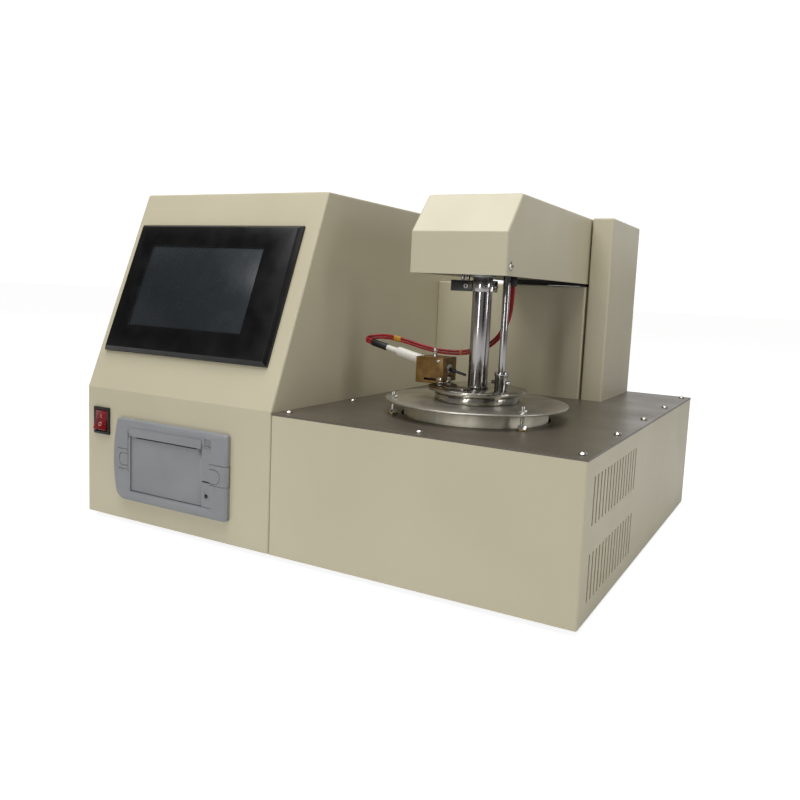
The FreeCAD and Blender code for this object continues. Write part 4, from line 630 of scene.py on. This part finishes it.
# The bar's width and height, and the ring's outer and inner radius
BAR_MARK = (0.9 * MM, 4.0 * MM)
RING_MARK = (2.15 * MM, 1.45 * MM)
BAR_STEPS = 8
RING_STEPS = 40
RAY_START = 50 * MM


def rocker_mark(name, pairs, ring=False):
    """A raised mark that follows the rocker's front: pairs of (x, z) edge places along it."""
    rocker = nodes["rocker"].data
    tree = BVHTree.FromPolygons([vertex.co for vertex in rocker.vertices],
                                [polygon.vertices for polygon in rocker.polygons])

    def front(x, z):
        place = tree.ray_cast(Vector((x, printer_low.y - RAY_START, z)), Vector((0, 1, 0)))[0]
        return place.y

    def fill(shape):
        rows = []
        for pair in pairs:
            row = [shape.verts.new((x, front(x, z) - MARK_RAISE, z)) for x, z in pair]
            row += [shape.verts.new((x, front(x, z) + MARK_SINK, z)) for x, z in reversed(pair)]
            rows.append(row)
        skin(shape, rows, ring)

    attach(new_mesh(name, fill, "mark_pale"), "rocker")


def add_rocker_marks():
    middle = (rocker_low.x + rocker_high.x) / 2
    wide, tall = BAR_MARK
    heights = [MARK_TOP + tall * (step / BAR_STEPS - 0.5) for step in range(BAR_STEPS + 1)]
    bar_pairs = [[(middle - wide / 2, z), (middle + wide / 2, z)] for z in heights]
    rocker_mark("rocker_mark_on", bar_pairs)
    turns = [math.tau * step / RING_STEPS for step in range(RING_STEPS)]
    ring_pairs = [[(middle + radius * math.cos(turn), MARK_LOW + radius * math.sin(turn))
                   for radius in RING_MARK] for turn in turns]
    rocker_mark("rocker_mark_off", ring_pairs, ring=True)


# Small fasteners; their angles are in degrees

STUD_CIRCLE = 82.5 * MM
STUD_ANGLES = (216, 324, 90)
ZINC_WASHER = [(2.1, 0.0), (5.3, 0.0), (5.4, 0.15), (5.4, 1.05), (5.3, 1.2), (4.0, 1.25),
               (2.1, 1.25), (2.1, 0.0)]


def add_washers():
    """Yellow zinc washers under the studs' lower nuts."""
    for number, angle in enumerate(STUD_ANGLES, start=1):
        turn = math.radians(angle)
        x = AXIS_X + STUD_CIRCLE * math.cos(turn)
        y = AXIS_Y + STUD_CIRCLE * math.sin(turn)
        place = Matrix.Translation((x, y, DECK_TOP))
        washer = new_mesh(f"stud_washer_{number}",
                          lambda shape, place=place: lathe(shape, scaled(ZINC_WASHER), place),
                          "zinc_yellow")
        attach(washer, "base")


# A socket screw's outline, in shares of its radius and of how far it stands out
SOCKET_SHARES = ((0, -0.4), (0.5, -0.4), (0.5, 0.9), (0.6, 1), (0.8, 1), (1, 0.6), (1, -1),
                 (0, -1))
SOCKET_STEPS = 32


def socket_screw(name, place, direction, radius, proud, body):
    """A small screw head with a round socket, seated on a face."""
    profile = [(radius * out, proud * up) for out, up in SOCKET_SHARES]
    seat = aim(place, direction)
    screw = new_mesh(name, lambda shape: lathe(shape, profile, seat, SOCKET_STEPS),
                     "column_chrome")
    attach(screw, body)


COLLAR_SCREW_ANGLE = 39
# Each screw's radius, and how far it stands out
COLLAR_SCREW = (1.9 * MM, 0.5 * MM)
CLAMP_SCREW = (2.6 * MM, 1.6 * MM)
LEVER_SCREW = (2.5 * MM, 0.6 * MM)
LEVER_SCREW_OUT = 15.7 * MM


def add_screws():
    level = (collar_low.z + collar_high.z) / 2
    radius = (collar_high.y - collar_low.y) / 2
    turn = math.radians(COLLAR_SCREW_ANGLE)
    way = Vector((math.sin(turn), -math.cos(turn), 0))
    place = Vector((AXIS_X, AXIS_Y, level)) + way * radius
    socket_screw("collar_set_screw", place, way, *COLLAR_SCREW, "shutter")
    socket_screw("collar_clamp_screw", (collar_high.x, AXIS_Y, level), (1, 0, 0),
                 *CLAMP_SCREW, "shutter")
    lever_level = (lever_low.z + lever_high.z) / 2
    socket_screw("lever_screw", (AXIS_X - LEVER_SCREW_OUT, lever_low.y, lever_level),
                 (0, -1, 0), *LEVER_SCREW, "shutter")


# A dark strip under the head, put there as painted shade in the gap above the lift cover
GAP_SHADE_THICK = 3 * MM
GAP_SHADE_CLEAR = 0.2 * MM
GAP_SHADE_INSET = 2.2 * MM
GAP_SHADE_BACK = 20 * MM
GAP_SHADE_CHAMFER = 0.5 * MM


def add_painted_gap_shade():
    """A dark rubber strip under the head, around the top of the lift cover: painted shade that
    fills the gap between them.
    """
    cover_low, cover_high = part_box("lift_cover")
    head_low, head_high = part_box("head_cover")
    plate_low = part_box("head_plate")[0]
    low_z, high_z = cover_high.z + GAP_SHADE_CLEAR, plate_low.z
    left, right = head_low.x + GAP_SHADE_INSET, head_high.x - GAP_SHADE_INSET
    front, rear = cover_low.y + GAP_SHADE_THICK, head_high.y - GAP_SHADE_BACK
    outer = [(left, rear), (left, front), (right, front), (right, rear)]
    inner = [(left + GAP_SHADE_THICK, rear), (left + GAP_SHADE_THICK, front + GAP_SHADE_THICK),
             (right - GAP_SHADE_THICK, front + GAP_SHADE_THICK), (right - GAP_SHADE_THICK, rear)]
    levels = ((low_z, GAP_SHADE_CHAMFER), (low_z + GAP_SHADE_CHAMFER, 0), (high_z, 0))

    def fill(shape):
        rows = []
        for out, into in zip(outer, inner):
            way = (Vector(into) - Vector(out)) / GAP_SHADE_THICK
            row = [shape.verts.new((*(Vector(out) + way * inset), z)) for z, inset in levels]
            row += [shape.verts.new((*(Vector(into) - way * inset), z))
                    for z, inset in reversed(levels)]
            rows.append(row)
        skin(shape, rows)

    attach(new_mesh("painted_gap_shade", fill, "foot_rubber"), "head")


REAR_SCREW_INSET = 9 * MM
DECK_SCREW_REACH = 14 * MM


def add_rear_screws():
    """Pan screws along the edges of the console's rear panel, copied from a deck screw."""
    shape = welded_copy("deck_screws")
    first = min(shape.verts, key=lambda vertex: vertex.co.x + vertex.co.y)
    far = [vertex for vertex in shape.verts
           if (vertex.co - first.co).length > DECK_SCREW_REACH]
    bmesh.ops.delete(shape, geom=far, context="VERTS")
    middle = sum((vertex.co for vertex in shape.verts), Vector()) / len(shape.verts)
    bmesh.ops.translate(shape, verts=shape.verts, vec=-Vector((middle.x, middle.y, DECK_TOP)))
    mesh = mesh_from("rear_screw", shape)
    low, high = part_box("console_back")
    xs = (low.x + REAR_SCREW_INSET, high.x - REAR_SCREW_INSET)
    zs = (low.z + REAR_SCREW_INSET, (low.z + high.z) / 2, high.z - REAR_SCREW_INSET)
    for number, (x, z) in enumerate([(x, z) for x in xs for z in zs], start=1):
        screw = new_object(f"rear_screw_{number}", mesh.copy())
        screw.data.transform(aim((x, BACK_Y, z), (0, 1, 0)))
        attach(dress(screw, "fixing_steel"), "base")


# Igniter leads: the points that part.py routes its tubes through, as shares of the way from
# the boot to the gland; the last share is how much of a quarter turn the pair has tipped

LEAD_SHARES = (
    (-0.069, 0.227, 0.034, 0.0),
    (-0.069, 0.551, 0.055, 0.0),
    (-0.040, 0.805, 0.075, 0.0),
    (0.015, 0.946, 0.088, 0.0),
    (0.109, 0.968, 0.080, 0.0),
    (0.230, 0.985, 0.028, 0.0),
    (0.353, 1.000, -0.038, 0.0),
    (0.456, 1.030, -0.075, 0.0),
    (0.558, 1.080, -0.086, 0.0),
    (0.654, 1.140, -0.077, 0.0),
    (0.766, 1.189, -0.013, 0.25),
    (0.860, 1.200, 0.091, 0.41),
    (0.930, 1.178, 0.264, 0.63),
    (0.981, 1.108, 0.520, 0.82),
    (1.000, 1.000, 0.776, 1.0),
)
LEAD_DIAMETER = 2.6 * MM
LEAD_PITCH = 2.8 * MM
LEAD_RUN_OUT = 6 * MM
BOOT_END = Vector((0.267, -98.5, 203.38)) * MM
BOOT_WAY = Vector((-132, 0, 30)).normalized()
gland_low, gland_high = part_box("lead_gland")
GLAND_END = Vector(((gland_low.x + gland_high.x) / 2, (gland_low.y + gland_high.y) / 2,
                    gland_low.z))


def lead_points(offset):
    """Control points of one lead, beside the pair's middle line by an offset."""
    start = BOOT_END + Vector((BOOT_WAY.z, 0, -BOOT_WAY.x)) * offset
    points = [start, start + BOOT_WAY * LEAD_RUN_OUT]
    for share_x, share_y, share_z, tip in LEAD_SHARES:
        lean = math.pi / 2 * tip
        points.append(Vector((
            BOOT_END.x + (GLAND_END.x - BOOT_END.x) * share_x - offset * math.sin(lean),
            BOOT_END.y + (GLAND_END.y - BOOT_END.y) * share_y,
            BOOT_END.z + (GLAND_END.z - BOOT_END.z) * share_z + offset * math.cos(lean))))
    points.append(GLAND_END - Vector((offset, 0, 0)))
    return points


def spline_object(name, points, bevel):
    """A NURBS curve with the points as its control points."""
    curve = bpy.data.curves.new(name, "CURVE")
    curve.dimensions = "3D"
    spline = curve.splines.new("NURBS")
    spline.points.add(len(points) - 1)
    for control, point in zip(spline.points, points):
        control.co = (*point, 1)
    spline.order_u = 3
    spline.use_endpoint_u = True
    curve.resolution_u = 10
    curve.bevel_depth = bevel
    curve.bevel_resolution = 5
    curve.use_fill_caps = True
    return new_object(name, curve)


def spline_line(points):
    """Points along the NURBS line that the control points give."""
    guide = spline_object("guide", points, 0)
    mesh = bpy.data.meshes.new_from_object(guide)
    line = [vertex.co.copy() for vertex in mesh.vertices]
    bpy.data.objects.remove(guide)
    bpy.data.meshes.remove(mesh)
    return line


LEAD_SMOOTH = 60
# Each turn of tape lies between two places along X
TAPE_THICK = 0.25 * MM
TAPE_STEPS = 24
YELLOW_TAPE = (15.5 * MM, 25.5 * MM)
ORANGE_TAPE = (91 * MM, 96 * MM)


def wrap(name, lines, low_x, high_x, material):
    """A turn of tape around both leads, between two places along X."""
    reach = LEAD_DIAMETER / 2 + TAPE_THICK

    def fill(shape):
        rings = []
        for number in range(1, len(lines[0]) - 1):
            upper, lower = lines[0][number], lines[1][number]
            middle = (upper + lower) / 2
            if not low_x <= middle.x <= high_x:
                continue
            along = (lines[0][number + 1] - lines[0][number - 1]).normalized()
            apart = upper - lower
            across = apart.normalized()
            side = along.cross(across)
            ring = []
            for step in range(TAPE_STEPS):
                turn = math.tau * (step + 0.5) / TAPE_STEPS
                shift = apart / 2 if math.cos(turn) > 0 else -apart / 2
                point = across * math.cos(turn) + side * math.sin(turn)
                ring.append(shape.verts.new(middle + shift + point * reach))
            rings.append(ring)
        skin(shape, rings)

    tape = new_mesh(name, fill, material)
    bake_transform(tape)
    return tape


def add_leads():
    routes = [lead_points(LEAD_PITCH / 2 * way) for way in (1, -1)]
    lines = [spline_line(points) for points in routes]
    tapes = [wrap("lead_tape_yellow", lines, *YELLOW_TAPE, "tape_yellow"),
             wrap("lead_tape_orange", lines, *ORANGE_TAPE, "tape_orange")]
    for name, points, line in zip(("upper", "lower"), routes, lines):
        curve = spline_object(f"igniter_lead_cord_{name}", points, LEAD_DIAMETER / 2)
        mesh = bpy.data.meshes.new_from_object(curve)
        bpy.data.objects.remove(curve)
        lead = new_object(f"igniter_lead_cord_{name}", mesh)
        dress(lead, "lead_silicone", LEAD_SMOOTH)
        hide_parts(f"igniter_lead_{name}")
        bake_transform(lead)


# Stage

CAMERA_PLACE = Vector((425.85, -786.67, 259.36)) * MM
CAMERA_TURN = (83.307, -2.704, 27.842)
FOCAL_LENGTH = 34.617
SENSOR_WIDTH = 36
SHIFT_X = -0.034
SHIFT_Y = -0.0237
MIDDLE = (0, 0, 0.15)
UPPER_MIDDLE = (0.1, 0, 0.3)
# Name, place, target, size in metres and power in watts
LIGHTS = (
    ("top light", (-0.1, -0.6, 2.2), MIDDLE, (2.2, 1.6), 47),
    ("front strip", (-0.05, -2.3, 0.6), UPPER_MIDDLE, (0.22, 1.2), 7),
    ("right strip", (2.2, -0.15, 0.75), UPPER_MIDDLE, (0.3, 1.0), 5),
)
# Name, place, target, size, grey level and glow
CARDS = (
    ("back wall", (-0.5, 3.2, 1.1), (0, 0, 0.3), (7, 1.2), 0.9, 0.65),
    ("dark card right", (1.5, -1.1, 0.6), MIDDLE, (0.7, 1.4), 0.02, 0),
    ("dark card left", (-1.3, -1.1, 1.0), MIDDLE, (1.5, 1.1), 0.02, 0),
)
# Name, height, grey level and glow
FLOORS = (
    ("floor", -0.6 * MM, 0.78, 0),
    ("floor seen", -0.3 * MM, 0.3, 3.0),
)
FLOOR_SIZE = (60, 60)
BACKDROP_RADIUS = 20
BACKDROP_GLOW = 0.95


def add_camera():
    data = bpy.data.cameras.new("camera")
    data.lens = FOCAL_LENGTH
    data.sensor_width = SENSOR_WIDTH
    data.shift_x = SHIFT_X
    data.shift_y = SHIFT_Y
    data.clip_start = 0.01
    camera = new_object("camera", data)
    camera.location = CAMERA_PLACE
    camera.rotation_euler = [math.radians(angle) for angle in CAMERA_TURN]
    bpy.context.scene.camera = camera


def add_light(name, place, target, size, power):
    data = bpy.data.lights.new(name, "AREA")
    data.shape = "RECTANGLE"
    data.size, data.size_y = size
    data.energy = power
    light = new_object(name, data)
    light.location = place
    direction = Vector(target) - Vector(place)
    light.rotation_euler = direction.to_track_quat("-Z", "Y").to_euler()


def flat_material(name, level, glow):
    """A matt grey of one level, which may also glow."""
    colour = (level, level, level, 1)
    shader = Shader(name)
    shader.set(base_color=colour, roughness=0.9)
    shader.surface.inputs["Emission Color"].default_value = colour
    shader.surface.inputs["Emission Strength"].default_value = glow
    return shader.material


def board(name, size):
    """A flat board that faces its own Z."""
    wide, high = size[0] / 2, size[1] / 2
    mesh = bpy.data.meshes.new(name)
    mesh.from_pydata([(-wide, -high, 0), (wide, -high, 0), (wide, high, 0), (-wide, high, 0)],
                     [], [(0, 1, 2, 3)])
    return mesh


def add_card(name, place, target, size, shade, glow):
    """A board out of the picture that gives the bright metal something to reflect."""
    card = new_object(name, board(name, size))
    card.location = place
    direction = Vector(target) - Vector(place)
    card.rotation_euler = direction.to_track_quat("Z", "Y").to_euler()
    card.visible_camera = False
    card.visible_shadow = False
    card.visible_diffuse = glow == 0
    card.data.materials.append(flat_material(name, shade, glow))


def show_to_camera_alone(obj):
    """Keep a piece of the stage out of every ray but the camera's."""
    for use in ("diffuse", "glossy", "transmission", "volume_scatter", "shadow"):
        setattr(obj, f"visible_{use}", False)


def add_backdrop():
    """A pale dome that only the camera sees, so that the metal reflects a dim room."""
    shape = bmesh.new()
    bmesh.ops.create_icosphere(shape, subdivisions=3, radius=BACKDROP_RADIUS)
    dome = new_object("backdrop", mesh_from("backdrop", shape))
    show_to_camera_alone(dome)
    dome.data.materials.append(flat_material("backdrop", 1, BACKDROP_GLOW))


def add_floor(name, level, shade, glow):
    """A floor: one that glows shows to the camera alone, and one that doesn't is for light."""
    floor = new_object(name, board(name, FLOOR_SIZE))
    floor.location.z = level
    floor.visible_camera = glow > 0
    if glow:
        show_to_camera_alone(floor)
    floor.data.materials.append(flat_material(name, shade, glow))


def add_stage():
    scene = bpy.context.scene
    scene.view_settings.view_transform = "Standard"
    world = bpy.data.worlds.new("world")
    scene.world = world
    world.use_nodes = True
    background = world.node_tree.nodes["Background"]
    background.inputs["Color"].default_value = (1, 0.99, 0.97, 1)
    background.inputs["Strength"].default_value = 0.22
    for floor in FLOORS:
        add_floor(*floor)
    for light in LIGHTS:
        add_light(*light)
    for card in CARDS:
        add_card(*card)
    add_backdrop()


finish_nodes()
add_leads()
add_printer()
add_rocker_marks()
add_washers()
add_screws()
add_rear_screws()
# Painted shade: a dark strip fills the gap under the head
add_painted_gap_shade()
add_camera()
add_stage()
